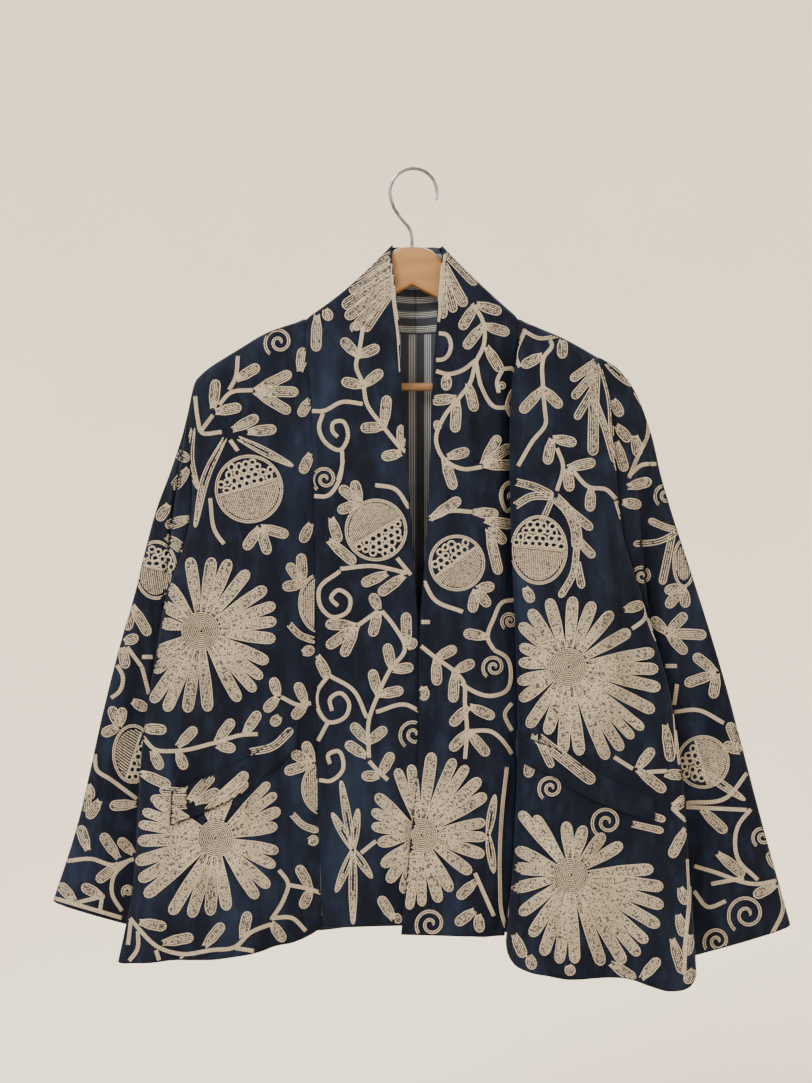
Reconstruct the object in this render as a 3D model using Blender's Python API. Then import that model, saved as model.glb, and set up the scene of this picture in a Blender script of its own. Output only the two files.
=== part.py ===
"""Short velvet coat, kimono cut, hanging open on a wooden hanger.

Metres, +Z up, the wearer's front toward -Y. The origin is the inside top of the
hanger's hook. "right" and "left" are the wearer's, so right is at -X. Tables hold
millimetres, and "drop" is the distance below the hook's inside top.
"""
import math

import bmesh
import bpy
import numpy as np

for item in list(bpy.data.objects):
    bpy.data.objects.remove(item, do_unlink=True)

mm = 0.001

# Cloth sizes, millimetres
velvet_thick = 2.0
lining_thick = 1.2
welt_thick = 1.5
welt_clear = 1.3
seam_gap = 0.3
seam_shift = 0.2
lining_clear = 1.0
lining_hem_share = 0.975
lining_top_steps = (0.0, 0.1, 0.45)
turn_width = 16.0
armhole_half_depth = 13.0
front_round = 26.0
back_round = 16.0

# Hanger sizes, millimetres
board_thick = 12.0
board_edge_round = 4.5
bar_radius = 4.5
bar_drop = 234.0
bar_end = 187.0
hook_wire_radius = 1.9
hook_ring_radius = 25.4
hook_centre_x = 1.5
hook_stem_drop = 100.0
fit_clear = 0.3

side_sign = {"right": -1.0, "left": 1.0}

# Side edge of the body: drop, x, y of the middle of the edge
side_edge = {
    "right": [
        (225, -233, 0), (251, -238, -2), (282, -239, -3), (349, -235, -4),
        (399, -242, -5), (464, -265, -9), (521, -274, -12), (608, -287, -18),
        (700, -291, -30), (762, -294, -38), (839, -307, -46)],
    "left": [
        (201, 200, 0), (222, 206, -2), (247, 212, -3), (320, 217, -4),
        (390, 224, -6), (427, 234, -7), (462, 247, -9), (528, 266, -15),
        (586, 278, -22), (671, 287, -36), (743, 289, -50), (846, 294, -62)],
}
underarm_drop = {"right": 464.0, "left": 462.0}

# Seam of the front band: drop, x
band_seam = {
    "right": [
        (160, -114), (204, -113), (250, -108), (294, -106), (384, -104),
        (487, -102), (593, -101), (672, -99), (804, -94)],
    "left": [
        (160, 115), (200, 113), (250, 111), (300, 111), (400, 111),
        (500, 112), (600, 112), (700, 108), (760, 104), (812, 97)],
}

# Front panel depth: drop, y at the seam, y of the lip beside it, y mid, y at the side
front_depth = {
    "right": [
        (160, -16, -18, -21, -15), (230, -22, -24, -26, -20),
        (300, -26, -28, -33, -26), (400, -29, -31, -38, -28),
        (500, -32, -34, -40, -28), (600, -36, -38, -44, -32),
        (700, -40, -43, -52, -42), (760, -44, -48, -58, -50),
        (840, -46, -53, -62, -56)],
    "left": [
        (160, -14, -19, -22, -15), (215, -11, -26, -28, -20),
        (300, -10, -33, -36, -28), (400, -15, -37, -42, -30),
        (500, -24, -40, -48, -32), (600, -30, -45, -57, -38),
        (700, -37, -56, -68, -50), (760, -43, -66, -76, -60),
        (850, -50, -74, -82, -72)],
}

# How far the front's lip rolls over the band seam: drop, x shift toward the centre
lip_roll = {
    "right": [(160, 0), (300, 2), (600, 3), (840, 4)],
    "left": [(160, 0), (185, 4), (230, 13), (330, 17), (450, 16), (600, 14), (740, 14), (850, 12)],
}

# Shoulder line of each front: share of the way from the band seam, drop
shoulder_line = {
    "right": [(0.0, 160), (0.38, 176), (0.62, 193), (0.76, 203), (0.91, 215), (1.0, 225)],
    "left": [(0.0, 160), (0.36, 173), (0.53, 179), (0.76, 189), (1.0, 201)],
}

# Hem of each front: share of the way from the band seam, drop
hem_line = {
    "right": [(0.0, 804), (0.09, 812), (0.38, 826), (0.74, 837), (1.0, 839)],
    "left": [
        (0.0, 812), (0.08, 831), (0.18, 841), (0.46, 845), (0.69, 851),
        (0.86, 859), (0.94, 858), (1.0, 846)],
}

# Soft folds of the fronts: share and drop at the top, share and drop at the foot,
# half width, height toward the viewer
front_folds = {
    "right": [
        (0.90, 260, 0.66, 600, 24, 6), (0.95, 440, 0.70, 700, 22, -7),
        (0.34, 230, 0.26, 560, 20, 4), (0.46, 560, 0.42, 870, 28, 8),
        (0.74, 600, 0.78, 870, 24, -9)],
    "left": [
        (0.86, 240, 0.70, 560, 22, 6), (0.96, 430, 0.66, 680, 22, -7),
        (0.42, 220, 0.34, 520, 20, -5), (0.36, 560, 0.34, 890, 26, 9),
        (0.60, 600, 0.63, 890, 24, -9), (0.86, 700, 0.87, 890, 20, 7)],
}

# Back panel depth: drop, y near the side, y a hand in, y of the middle
back_depth = {
    "right": [
        (180, 13, 15, 16), (300, 14, 16, 18), (390, 9, 13, 20), (430, 4, 10, 20),
        (455, -2, 7, 21), (485, -4, 4, 22), (520, -5, 3, 22), (600, -7, 1, 22), (700, -17, 0, 22), (762, -26, -3, 22),
        (840, -34, -7, 22)],
    "left": [
        (180, 13, 15, 16), (300, 14, 16, 18), (385, 9, 13, 20), (425, 4, 10, 20),
        (450, -2, 7, 21), (480, -4, 4, 22), (520, -6, 2, 22), (600, -11, 0, 22), (700, -25, -3, 22), (762, -38, -8, 22),
        (845, -50, -12, 22)],
}
back_reach = (16.0, 80.0, 148.0)
back_hem_centre = 818.0

# Soft folds of the back: x and drop at the top, x and drop at the foot, half width, height
back_folds = [
    (-120, 240, -150, 800, 24, 6), (-60, 330, -80, 810, 26, -6), (10, 260, 0, 810, 30, 5),
    (72, 350, 90, 810, 24, -6), (118, 250, 140, 800, 26, 6)]

# Back neck seam, right side to left side: x, drop, y
neck_seam = [
    (-114, 160, 0), (-110, 163, 8), (-98, 167, 13), (-76, 170, 16), (-50, 173, 18.5),
    (-22, 174.5, 20), (4, 175, 20), (30, 174.5, 20), (58, 173, 18.5), (84, 170, 16),
    (104, 167, 13), (112, 163, 8), (115, 160, 0)]

# Free edge of the band up the front: drop, x, y
band_free = {
    "right": [
        (81, -22, 0), (86, -23, -9), (101, -22, -14), (134, -18, -18), (178, -14, -22),
        (237, -12, -26), (300, -7, -30), (392, -1, -36), (504, 6, -42), (627, 7, -44),
        (801, 7, -47)],
    "left": [
        (82, 33, 0), (87, 34, -9), (102, 32, -14), (134, 29, -18), (178, 26, -22),
        (237, 22, -27), (300, 20, -32), (392, 16, -38), (504, 8, -45), (627, 7, -48),
        (720, -2, -51), (809, -11, -54)],
}
band_free_hem = {"right": 801.0, "left": 809.0}

# Free edge of the standing collar behind the neck, shoulder to centre: x, drop, y
collar_top = {
    "right": [
        (-22, 81, 0), (-22, 81, 8), (-20, 80.5, 13), (-15, 80, 16), (-9, 80, 18),
        (-3, 80, 19.5), (4, 80, 20)],
    "left": [
        (33, 82, 0), (32, 81.5, 8), (30, 81, 13), (24, 80, 16), (17, 80, 18),
        (10, 80, 19.5), (4, 80, 20)],
}
collar_sag = {"right": 5.0, "left": 2.0}
neck_rise_share = 0.27
band_valley = {"right": 0.12, "left": 0.26}

# Sleeve rings: share of the length, outer x and drop, inner x and drop,
# y at the outer and inner edges, half depth
sleeve_rings = {
    "right": [
        (0.04, -237, 238, -269, 472, 0, -5, 12), (0.08, -241, 256, -270, 483, 2, 5, 11),
        (0.13, -247, 280, -266, 497, 4, 12.5, 11), (0.20, -261, 322, -257, 520, 6, 15, 11),
        (0.30, -282, 380, -243, 560, 7, 16, 12), (0.42, -298, 446, -237, 602, 8, 17, 12),
        (0.56, -320, 524, -231, 654, 7, 16, 12), (0.70, -341, 612, -226, 710, 5, 14, 12),
        (0.84, -359, 698, -221, 770, 2, 11, 13), (1.00, -386, 787, -217, 834, -6, 4, 14)],
    "left": [
        (0.04, 213, 208, 252.5, 470, 0, -5, 12), (0.08, 226, 217, 256, 482, 1, 3, 12),
        (0.13, 241, 238, 251, 498, 4, 10, 11), (0.20, 259, 282, 248, 524, 7, 14, 11),
        (0.30, 274, 343, 244, 566, 8, 16, 12), (0.42, 296, 412, 242, 612, 8, 17, 12),
        (0.56, 322, 494, 240, 668, 7, 16, 12), (0.70, 345, 574, 239, 728, 5, 14, 12),
        (0.84, 370, 674, 238, 792, 2, 11, 13), (1.00, 407, 813, 238, 862, -6, 4, 14)],
}
# Soft folds of the sleeves: share round from the outer edge and share down at the top,
# the same at the foot, half width as a share round, height outward
sleeve_folds = [
    (0.16, 0.18, 0.30, 0.62, 0.05, 4.0), (0.30, 0.40, 0.20, 0.90, 0.06, -4.0),
    (0.70, 0.20, 0.62, 0.70, 0.06, 4.0), (0.78, 0.45, 0.84, 0.95, 0.05, -3.5)]

# Pocket welts on the fronts: share across, drop of the upper edge, drop of the lower edge
pocket_welt = {
    "right": [
        (0.14, 594, 617), (0.24, 606, 634), (0.36, 621, 652), (0.50, 635, 668),
        (0.64, 647, 682), (0.78, 657, 693), (0.88, 664, 698)],
    "left": [
        (0.08, 600, 626), (0.20, 611, 640), (0.34, 626, 655), (0.48, 639, 668),
        (0.62, 652, 679), (0.76, 662, 686), (0.88, 670, 690)],
}

# Hanger board, centre to end along the top, then back along the foot: x, drop
board_half = [
    (0, 82.6), (12, 83.6), (21, 87), (29, 94), (56, 119.5), (86, 147.6), (104, 160),
    (120, 166.5), (146, 176.6), (170, 187.8), (185, 197), (193, 206), (195, 216),
    (195, 236), (191, 243), (184, 245), (179, 240), (176, 228), (168, 214), (150, 202.5)]
board_foot_apex = 124.5

# Hook wire below the ring: x, drop
hook_tail = [(-19.5, 41), (-12, 52), (-4, 61), (-1, 67), (0, 74)]

armhole_steps = 12
body_steps_below = 11
front_across = [0, 0.04, 0.08, 0.12, 0.17, 0.24, 0.32, 0.40, 0.48, 0.56, 0.64, 0.72, 0.80,
                0.90, 1.0, 1.28, 1.56, 1.8, 2.0]
back_across = [2.0, 1.7, 1.35, 1.0, 0.86, 0.7, 0.55, 0.4, 0.26, 0.13]
band_across = [0, 0.1, 0.2, 0.34, 0.56, 0.78, 1.0]


def ease(share):
    """Smooth step from 0 to 1."""
    share = min(max(share, 0.0), 1.0)
    return share * share * (3.0 - 2.0 * share)


def lookUp(table, key):
    """Smooth values at one key of a table whose first column rises."""
    keys = [row[0] for row in table]
    rows = [np.array(row[1:], float) for row in table]
    if key <= keys[0]:
        return rows[0]
    if key >= keys[-1]:
        return rows[-1]
    low = max(index for index, value in enumerate(keys) if value <= key)
    low = min(low, len(keys) - 2)
    high = low + 1
    span = keys[high] - keys[low]
    step = (rows[high] - rows[low]) / span
    before = step if low == 0 else (rows[low] - rows[low - 1]) / (keys[low] - keys[low - 1])
    after = step
    if high < len(keys) - 1:
        after = (rows[high + 1] - rows[high]) / (keys[high + 1] - keys[high])
    start = np.where(before * step > 0, 0.5 * (before + step), 0.0)
    finish = np.where(after * step > 0, 0.5 * (after + step), 0.0)
    share = (key - keys[low]) / span
    return (rows[low] * (2 * share ** 3 - 3 * share ** 2 + 1)
            + start * span * (share ** 3 - 2 * share ** 2 + share)
            + rows[high] * (3 * share ** 2 - 2 * share ** 3)
            + finish * span * (share ** 3 - share ** 2))


def foldHeight(folds, place, drop, scale):
    """Sum of soft folds at one place across and down."""
    total = 0.0
    for top_place, top_drop, low_place, low_drop, half_width, height in folds:
        run = (drop - top_drop) / (low_drop - top_drop)
        if run <= 0.0:
            continue
        centre = top_place + (low_place - top_place) * min(run, 1.0)
        away = (place - centre) * scale / half_width
        fade = ease(run / 0.3) * (1.0 - ease((run - 0.86) / 0.3))
        total += height * fade * math.exp(-away * away)
    return total


def roundTop(depth_below, radius):
    """Share of full depth just below a shoulder ridge."""
    if depth_below >= radius:
        return 1.0
    return math.sqrt(max(0.0, 1.0 - (1.0 - depth_below / radius) ** 2))


def rowShare(side, row):
    """Share of the way from shoulder to hem for one row of the body."""
    tip = side_edge[side][0][0]
    hem = side_edge[side][-1][0]
    under = underarm_drop[side]
    if row <= armhole_steps:
        turn = math.pi * row / armhole_steps
        drop = tip + (under - tip) * 0.5 * (1.0 - math.cos(turn))
    else:
        drop = under + (hem - under) * (row - armhole_steps) / body_steps_below
    return (drop - tip) / (hem - tip)


def armholeHalf(side, drop):
    """Half the depth of the armhole at one drop."""
    tip = side_edge[side][0][0]
    share = (drop - tip) / (underarm_drop[side] - tip)
    if share <= 0.0 or share >= 1.0:
        return 0.0
    return armhole_half_depth * math.sqrt(1.0 - (1.0 - 2.0 * share) ** 2)


def sideX(side, drop):
    return lookUp(side_edge[side], drop)[0]


def acrossSpan(side, across, drop):
    """x and share across for a place from the band seam (0) past the turn (1 to 2)."""
    seam_x = lookUp(band_seam[side], drop)[0]
    edge_x = sideX(side, drop)
    width = abs(edge_x - seam_x)
    flat = (width - turn_width) / width
    if across <= 1.0:
        share = across * flat
    else:
        turn = (across - 1.0) * math.pi / 2
        share = flat + (1.0 - flat) * math.sin(turn)
    return seam_x + (edge_x - seam_x) * share, share, width


def frontPoint(side, across, share_down):
    """Outer face of a front panel, millimetres."""
    sign = side_sign[side]
    top = lookUp(shoulder_line[side], acrossSpan(side, across, side_edge[side][0][0])[1])[0]
    hem = lookUp(hem_line[side], acrossSpan(side, across, side_edge[side][-1][0])[1])[0]
    drop = top + (hem - top) * share_down
    x, place, width = acrossSpan(side, across, drop)
    seam_y, lip_y, mid_y, side_y = lookUp(front_depth[side], drop)
    flat = min(across, 1.0)
    panel_y = lookUp([(0.0, lip_y), (0.5, mid_y), (1.0, side_y)], flat)[0]
    panel_y -= foldHeight(front_folds[side], flat, drop, width) * ease(flat / 0.15)
    lip = ease(flat / 0.15)
    y = seam_y + (panel_y - seam_y) * lip
    roll = lookUp(lip_roll[side], drop)[0]
    if flat < 0.24:
        x -= sign * roll * math.sin(math.pi * flat / 0.24)
    y *= roundTop(drop - top, front_round)
    if across > 1.0:
        edge_y = lookUp(side_edge[side], drop)[1] - armholeHalf(side, drop)
        y = edge_y + (y - edge_y) * math.cos((across - 1.0) * math.pi / 2)
    return np.array((x, y - seam_gap / 2, -drop))


def backRise(side, x, drop):
    """Depth of the back panel away from its edges."""
    near, hand, middle = lookUp(back_depth[side], drop)
    inward = abs(sideX(side, drop) - x)
    rise = lookUp([(back_reach[0], near), (back_reach[1], hand), (back_reach[2], middle)],
                  inward)[0]
    return rise + foldHeight(back_folds, x, drop, 1.0)


def backPoint(side, across, share_down):
    """Outer face of the back panel between the neck point and one side edge."""
    tip, side_hem = side_edge[side][0][0], side_edge[side][-1][0]
    top = lookUp(shoulder_line[side], acrossSpan(side, across, tip)[1])[0]
    share = acrossSpan(side, across, side_hem)[1]
    hem = back_hem_centre + (side_hem - back_hem_centre) * (0.35 + 0.65 * share)
    drop = top + (hem - top) * share_down
    x, place, width = acrossSpan(side, across, drop)
    y = backRise(side, x, drop) * roundTop(drop - top, back_round)
    if across > 1.0:
        edge_y = lookUp(side_edge[side], drop)[1] + armholeHalf(side, drop)
        y = edge_y + (y - edge_y) * math.cos((across - 1.0) * math.pi / 2)
    return np.array((x, y + seam_gap / 2, -drop))


def backNeckPoint(index, share_down):
    """Outer face of the back panel below one point of the neck seam."""
    top_x, top_drop, top_y = neck_seam[index]
    middle = (neck_seam[0][0] + neck_seam[-1][0]) / 2.0
    out = abs(top_x - middle) / (neck_seam[-1][0] - middle)
    side = "right" if top_x < middle else "left"
    side_hem = side_edge[side][-1][0]
    hem = back_hem_centre + (side_hem - back_hem_centre) * 0.35 * out ** 2
    drop = top_drop + (hem - top_drop) * share_down
    low = lookUp(band_seam["right"], drop)[0]
    high = lookUp(band_seam["left"], drop)[0]
    x = low + (high - low) * (top_x - neck_seam[0][0]) / (neck_seam[-1][0] - neck_seam[0][0])
    full_y = backRise(side, x, drop)
    y = top_y + (full_y - top_y) * roundTop(drop - top_drop, back_round + 24.0 * (1.0 - out))
    return np.array((x, y + seam_gap / 2, -drop))


def bandDepth(side, across, seam_y, free_y, lip_y):
    """Depth across the band, dipping to its seam."""
    open_y = lip_y + (free_y - lip_y) * across
    return seam_y + (open_y - seam_y) * ease(across / band_valley[side])


def bandFrontPoint(side, across, share_down):
    """Outer face of the band from shoulder to hem."""
    seam = frontPoint(side, 0.0, share_down)
    top = shoulder_line[side][0][1]
    hem = hem_line[side][0][1]
    rise = (top - band_free[side][0][0]) * (1.0 - ease(share_down / neck_rise_share))
    level = -seam[2] - rise
    stretch = (band_free_hem[side] - hem) * ease((share_down - 0.8) / 0.2)
    free_x, free_y = lookUp(band_free[side], level + stretch)
    drop = -seam[2] + (level + stretch + seam[2]) * across
    sag = collar_sag[side] * (1.0 - ease(share_down / neck_rise_share))
    drop += sag * math.sin(math.pi * across)
    lip_y = lookUp(front_depth[side], -seam[2])[1] + 3.0
    lip_y *= roundTop(-seam[2] - top, front_round)
    y = bandDepth(side, across, seam[1], free_y, max(lip_y, free_y))
    x = seam[0] + (free_x - seam[0]) * across
    return np.array((x, y, -drop))


def bandBackPoint(side, across, index):
    """Outer face of the band behind the neck, from the shoulder (0) to the centre (6)."""
    seam = neck_seam[index] if side == "right" else neck_seam[len(neck_seam) - 1 - index]
    free = collar_top[side][index]
    seam = np.array((seam[0], seam[2] + seam_gap / 2, -seam[1]))
    free = np.array((free[0], free[2] + seam_gap / 2, -free[1]))
    point = seam + (free - seam) * across
    bow = math.sin(math.pi * across)
    point[2] -= collar_sag[side] * (1.0 - index / 6.0) * bow
    point[1] += 2.0 * bow * index / 6.0
    return point


def sleeveFold(turn_share, length_share):
    """Height of the soft folds at one place round and down a sleeve."""
    total = 0.0
    for top_turn, top_share, low_turn, low_share, half_width, height in sleeve_folds:
        run = (length_share - top_share) / (low_share - top_share)
        if 0.0 < run < 1.0:
            centre = top_turn + (low_turn - top_turn) * run
            away = (turn_share - centre) / half_width
            total += height * math.sin(math.pi * run) ** 0.7 * math.exp(-away * away)
    return total


def sleevePoint(side, step, length_share):
    """Outer face of a sleeve: step round from the top edge, share of its length."""
    turn = math.pi * step / armhole_steps
    down = 0.5 * (1.0 - math.cos(turn))
    row = step if step <= armhole_steps else 2 * armhole_steps - step
    maker = frontPoint if step <= armhole_steps else backPoint
    start = maker(side, 2.0, rowShare(side, row))
    if row in (0, armhole_steps):
        start[1] += seam_gap / 2
    start[0] += side_sign[side] * seam_gap
    if length_share == 0.0:
        return start
    ring = sleeve_rings[side]
    shape = lookUp(ring, max(length_share, ring[0][0]))
    outer_x, outer_drop, inner_x, inner_drop, outer_y, inner_y, half = shape
    half += sleeveFold(step / (2.0 * armhole_steps), length_share)
    x = outer_x + (inner_x - outer_x) * down
    drop = outer_drop + (inner_drop - outer_drop) * down
    y = outer_y + (inner_y - outer_y) * down - half * math.sin(turn)
    point = np.array((x, y, -drop))
    if length_share < ring[0][0]:
        point = start + (point - start) * length_share / ring[0][0]
    return point


def clearEdge(points, axis, at, amount):
    """Moves one edge of a grid along its own surface, in from its neighbour."""
    moved = points.copy()
    index = (at, slice(None)) if axis == 0 else (slice(None), at)
    step = 1 if at == 0 else -2
    beside = (step, slice(None)) if axis == 0 else (slice(None), step)
    along = points[beside] - points[index]
    moved[index] += along / np.linalg.norm(along, axis=1, keepdims=True) * amount
    return moved


def gridNormals(points, closed, sign):
    """Unit normals of a grid of points, turned outward by the sign."""
    down = np.gradient(points, axis=0)
    if closed:
        over = np.roll(points, -1, axis=1) - np.roll(points, 1, axis=1)
    else:
        over = np.gradient(points, axis=1)
    normals = np.cross(over, down) * sign
    return normals / np.linalg.norm(normals, axis=2, keepdims=True)


def levelNormals(normals, lines, columns, axis):
    """Takes one axis out of the normals along an edge, so the wall ends flush there."""
    leveled = normals.copy()
    leveled[lines, columns, axis] = 0.0
    return leveled / np.linalg.norm(leveled, axis=2, keepdims=True)


def addPart(name, mesh, colour, roughness, metallic=0.0):
    """Puts a mesh in the coat's collection with its own material."""
    material = bpy.data.materials.new(name + "_material")
    material.use_nodes = True
    shader = material.node_tree.nodes["Principled BSDF"]
    shader.inputs["Base Color"].default_value = (*colour, 1.0)
    shader.inputs["Roughness"].default_value = roughness
    shader.inputs["Metallic"].default_value = metallic
    mesh.materials.clear()
    mesh.materials.append(material)
    for face in mesh.polygons:
        face.use_smooth = True
    part = bpy.data.objects.new(name, mesh)
    coat.objects.link(part)
    return part


def clothWall(name, outer, inner, closed, colour):
    """One closed wall of cloth lofted between two matching grids of points."""
    lines, columns = outer.shape[:2]
    shape = bmesh.new()
    skins = [[[shape.verts.new(point * mm) for point in line] for line in skin]
             for skin in (outer, inner)]
    reach = columns if closed else columns - 1
    for line in range(lines - 1):
        for column in range(reach):
            other = (column + 1) % columns
            for skin in skins:
                shape.faces.new((skin[line][column], skin[line + 1][column],
                                 skin[line + 1][other], skin[line][other]))
    for line in (0, lines - 1):
        for column in range(reach):
            other = (column + 1) % columns
            shape.faces.new((skins[0][line][column], skins[0][line][other],
                             skins[1][line][other], skins[1][line][column]))
    if not closed:
        for column in (0, columns - 1):
            for line in range(lines - 1):
                shape.faces.new((skins[0][line][column], skins[0][line + 1][column],
                                 skins[1][line + 1][column], skins[1][line][column]))
    bmesh.ops.recalc_face_normals(shape, faces=shape.faces)
    mesh = bpy.data.meshes.new(name)
    shape.to_mesh(mesh)
    shape.free()
    return addPart(name, mesh, colour, 0.85)


def gridPlace(points, column, line):
    """Point of a grid between its corners, at fractional places."""
    left = min(int(column), points.shape[1] - 2)
    upper = min(int(line), points.shape[0] - 2)
    over, down = column - left, line - upper
    return ((points[upper, left] * (1 - over) + points[upper, left + 1] * over) * (1 - down)
            + (points[upper + 1, left] * (1 - over) + points[upper + 1, left + 1] * over) * down)


def outlinePlate(name, outline, thick, edge_round):
    """Flat plate cut to an outline in the picture plane, with rounded edges."""
    shape = bmesh.new()
    corners = [shape.verts.new((x * mm, -thick / 2 * mm, -drop * mm)) for x, drop in outline]
    face = shape.faces.new(corners)
    grown = bmesh.ops.extrude_face_region(shape, geom=[face])
    moved = [item for item in grown["geom"] if isinstance(item, bmesh.types.BMVert)]
    bmesh.ops.translate(shape, verts=moved, vec=(0.0, thick * mm, 0.0))
    bmesh.ops.recalc_face_normals(shape, faces=shape.faces)
    flat = [edge for edge in shape.edges
            if abs(edge.verts[0].co.y - edge.verts[1].co.y) < 1e-6]
    bmesh.ops.bevel(shape, geom=flat, offset=edge_round * mm, offset_type="OFFSET",
                    segments=2, profile=0.5, affect="EDGES", clamp_overlap=True)
    mesh = bpy.data.meshes.new(name)
    shape.to_mesh(mesh)
    shape.free()
    return mesh


def tubeMesh(name, path, radius):
    """Round wire along a path of x and drop pairs."""
    curve = bpy.data.curves.new(name, "CURVE")
    curve.dimensions = "3D"
    curve.bevel_depth = radius * mm
    curve.bevel_resolution = 2
    curve.use_fill_caps = True
    line = curve.splines.new("POLY")
    line.points.add(len(path) - 1)
    for point, (x, drop) in zip(line.points, path):
        point.co = (x * mm, 0.0, -drop * mm, 1.0)
    holder = bpy.data.objects.new(name + "_path", curve)
    bpy.context.scene.collection.objects.link(holder)
    depsgraph = bpy.context.evaluated_depsgraph_get()
    mesh = bpy.data.meshes.new_from_object(holder.evaluated_get(depsgraph))
    bpy.data.objects.remove(holder, do_unlink=True)
    shape = bmesh.new()
    shape.from_mesh(mesh)
    bmesh.ops.remove_doubles(shape, verts=shape.verts, dist=1e-6)
    bmesh.ops.recalc_face_normals(shape, faces=shape.faces)
    shape.to_mesh(mesh)
    shape.free()
    mesh.name = name
    return mesh


def addCutter(name, mesh, part):
    """Hidden cutter taken out of a part."""
    cutter = bpy.data.objects.new(name, mesh)
    cutter.hide_render = True
    cutter.display_type = "WIRE"
    cutters.objects.link(cutter)
    cut = part.modifiers.new(name, "BOOLEAN")
    cut.operation = "DIFFERENCE"
    cut.solver = "EXACT"
    cut.object = cutter


coat = bpy.data.collections.new("velvet_coat")
bpy.context.scene.collection.children.link(coat)
cutters = bpy.data.collections.new("cutters")
bpy.context.scene.collection.children.link(cutters)

velvet = (0.02, 0.03, 0.06)
thread = (0.5, 0.45, 0.37)
stripe = (0.05, 0.06, 0.08)
wood = (0.5, 0.3, 0.14)
steel = (0.55, 0.56, 0.58)
half_gap = seam_gap / 2
body_rows = range(armhole_steps + body_steps_below + 1)
sides = ("right", "left")
whole = slice(None)

# Front panels, lofted from the band seam round to the side seam
front_grids = {}
for side in sides:
    points = np.array([[frontPoint(side, across, rowShare(side, row))
                        for across in front_across] for row in body_rows])
    points[:, 0, 0] += side_sign[side] * seam_shift
    normals = gridNormals(points, False, -side_sign[side])
    normals = levelNormals(normals, 0, whole, 1)
    normals = levelNormals(normals, whole, -1, 1)
    front_grids[side] = (points, normals)
    clothWall(side + "_front", points, points - normals * velvet_thick, False, velvet)

# Back panel, from the right side seam over the neck to the left side seam
back_columns = [("right", across) for across in back_across]
back_columns += [("neck", index) for index in range(len(neck_seam))]
back_columns += [("left", across) for across in reversed(back_across)]
back_points = []
for row in body_rows:
    line = []
    for place, value in back_columns:
        if place == "neck":
            near = "right" if value < 6 else "left"
            line.append(backNeckPoint(value, rowShare(near, row)))
        else:
            line.append(backPoint(place, value, rowShare(place, row)))
    back_points.append(line)
back_points = np.array(back_points)
neck_first = len(back_across)
neck_last = neck_first + len(neck_seam) - 1
trimmed = clearEdge(back_points, 0, 0, half_gap)
back_points[0, neck_first:neck_last + 1] = trimmed[0, neck_first:neck_last + 1]
normals = gridNormals(back_points, False, 1.0)
normals = levelNormals(normals, 0, slice(neck_first + 1), 1)
normals = levelNormals(normals, 0, slice(neck_last, None), 1)
normals = levelNormals(normals, 0, slice(neck_first + 1, neck_last), 2)
normals = levelNormals(normals, whole, [0, -1], 1)
clothWall("back", back_points, back_points - normals * velvet_thick, False, velvet)

# Front bands, up the opening and round the neck to the centre back
band_grids = {}
for side in sides:
    lines = [[bandFrontPoint(side, across, rowShare(side, row)) for across in band_across]
             for row in reversed(body_rows)]
    lines += [[bandBackPoint(side, across, index) for across in band_across]
              for index in range(1, len(collar_top[side]))]
    shoulder = len(body_rows) - 1
    points = clearEdge(np.array(lines), 1, 0, half_gap)
    points[:shoulder + 1, 0] = [line[0] for line in lines[:shoulder + 1]]
    points[:shoulder + 1, 0, 0] -= side_sign[side] * seam_shift
    points = clearEdge(points, 0, -1, half_gap)
    normals = gridNormals(points, False, -side_sign[side])
    normals = levelNormals(normals, shoulder, whole, 1)
    normals = levelNormals(normals, slice(shoulder + 1, None), 0, 2)
    normals = levelNormals(normals, -1, whole, 0)
    band_grids[side] = (points, normals)
    clothWall(side + "_band", points, points - normals * velvet_thick, False, velvet)

# Striped facing inside the standing collar, behind the neck
for side in sides:
    points, normals = band_grids[side]
    first = len(body_rows) + 1
    inside = points[first:] - normals[first:] * (velvet_thick + seam_gap)
    clothWall(side + "_neck_facing", inside,
              inside - normals[first:] * lining_thick, False, stripe)

# Striped lining of the back, under the facing and a little short of the side seams
lining_columns = range(4, len(back_columns) - 4)
inside = []
for row in body_rows:
    line = []
    for column in lining_columns:
        place, value = back_columns[column]
        out = abs(column - (len(back_columns) - 1) / 2)
        start = 0.0018 + 0.032 * ease((out - 3.0) / 3.0)
        near = "right" if column < len(back_columns) / 2 else "left"
        down = rowShare(near, row)
        if row < 3:
            down = start + (rowShare(near, 3) - start) * lining_top_steps[row]
        if row == body_rows[-1]:
            down = lining_hem_share
        maker = backNeckPoint(value, down) if place == "neck" else backPoint(place, value, down)
        line.append(maker)
    inside.append(line)
inside = np.array(inside)
normals = gridNormals(inside, False, 1.0)
inside -= normals * (velvet_thick + lining_clear)
clothWall("back_lining", inside, inside - normals * lining_thick, False, stripe)

# Sleeves, from the armhole to the open cuff
sleeve_shares = [0.0, 0.03, 0.06, 0.12, 0.2, 0.28, 0.36, 0.44, 0.52, 0.6, 0.68, 0.76, 0.84,
                 0.92, 1.0]
for side in sides:
    points = np.array([[sleevePoint(side, step, share) for step in range(2 * armhole_steps)]
                       for share in sleeve_shares])
    normals = gridNormals(points, True, side_sign[side])
    normals = levelNormals(normals, 0, whole, 0)
    clothWall(side + "_sleeve", points, points - normals * velvet_thick, True, velvet)

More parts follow.
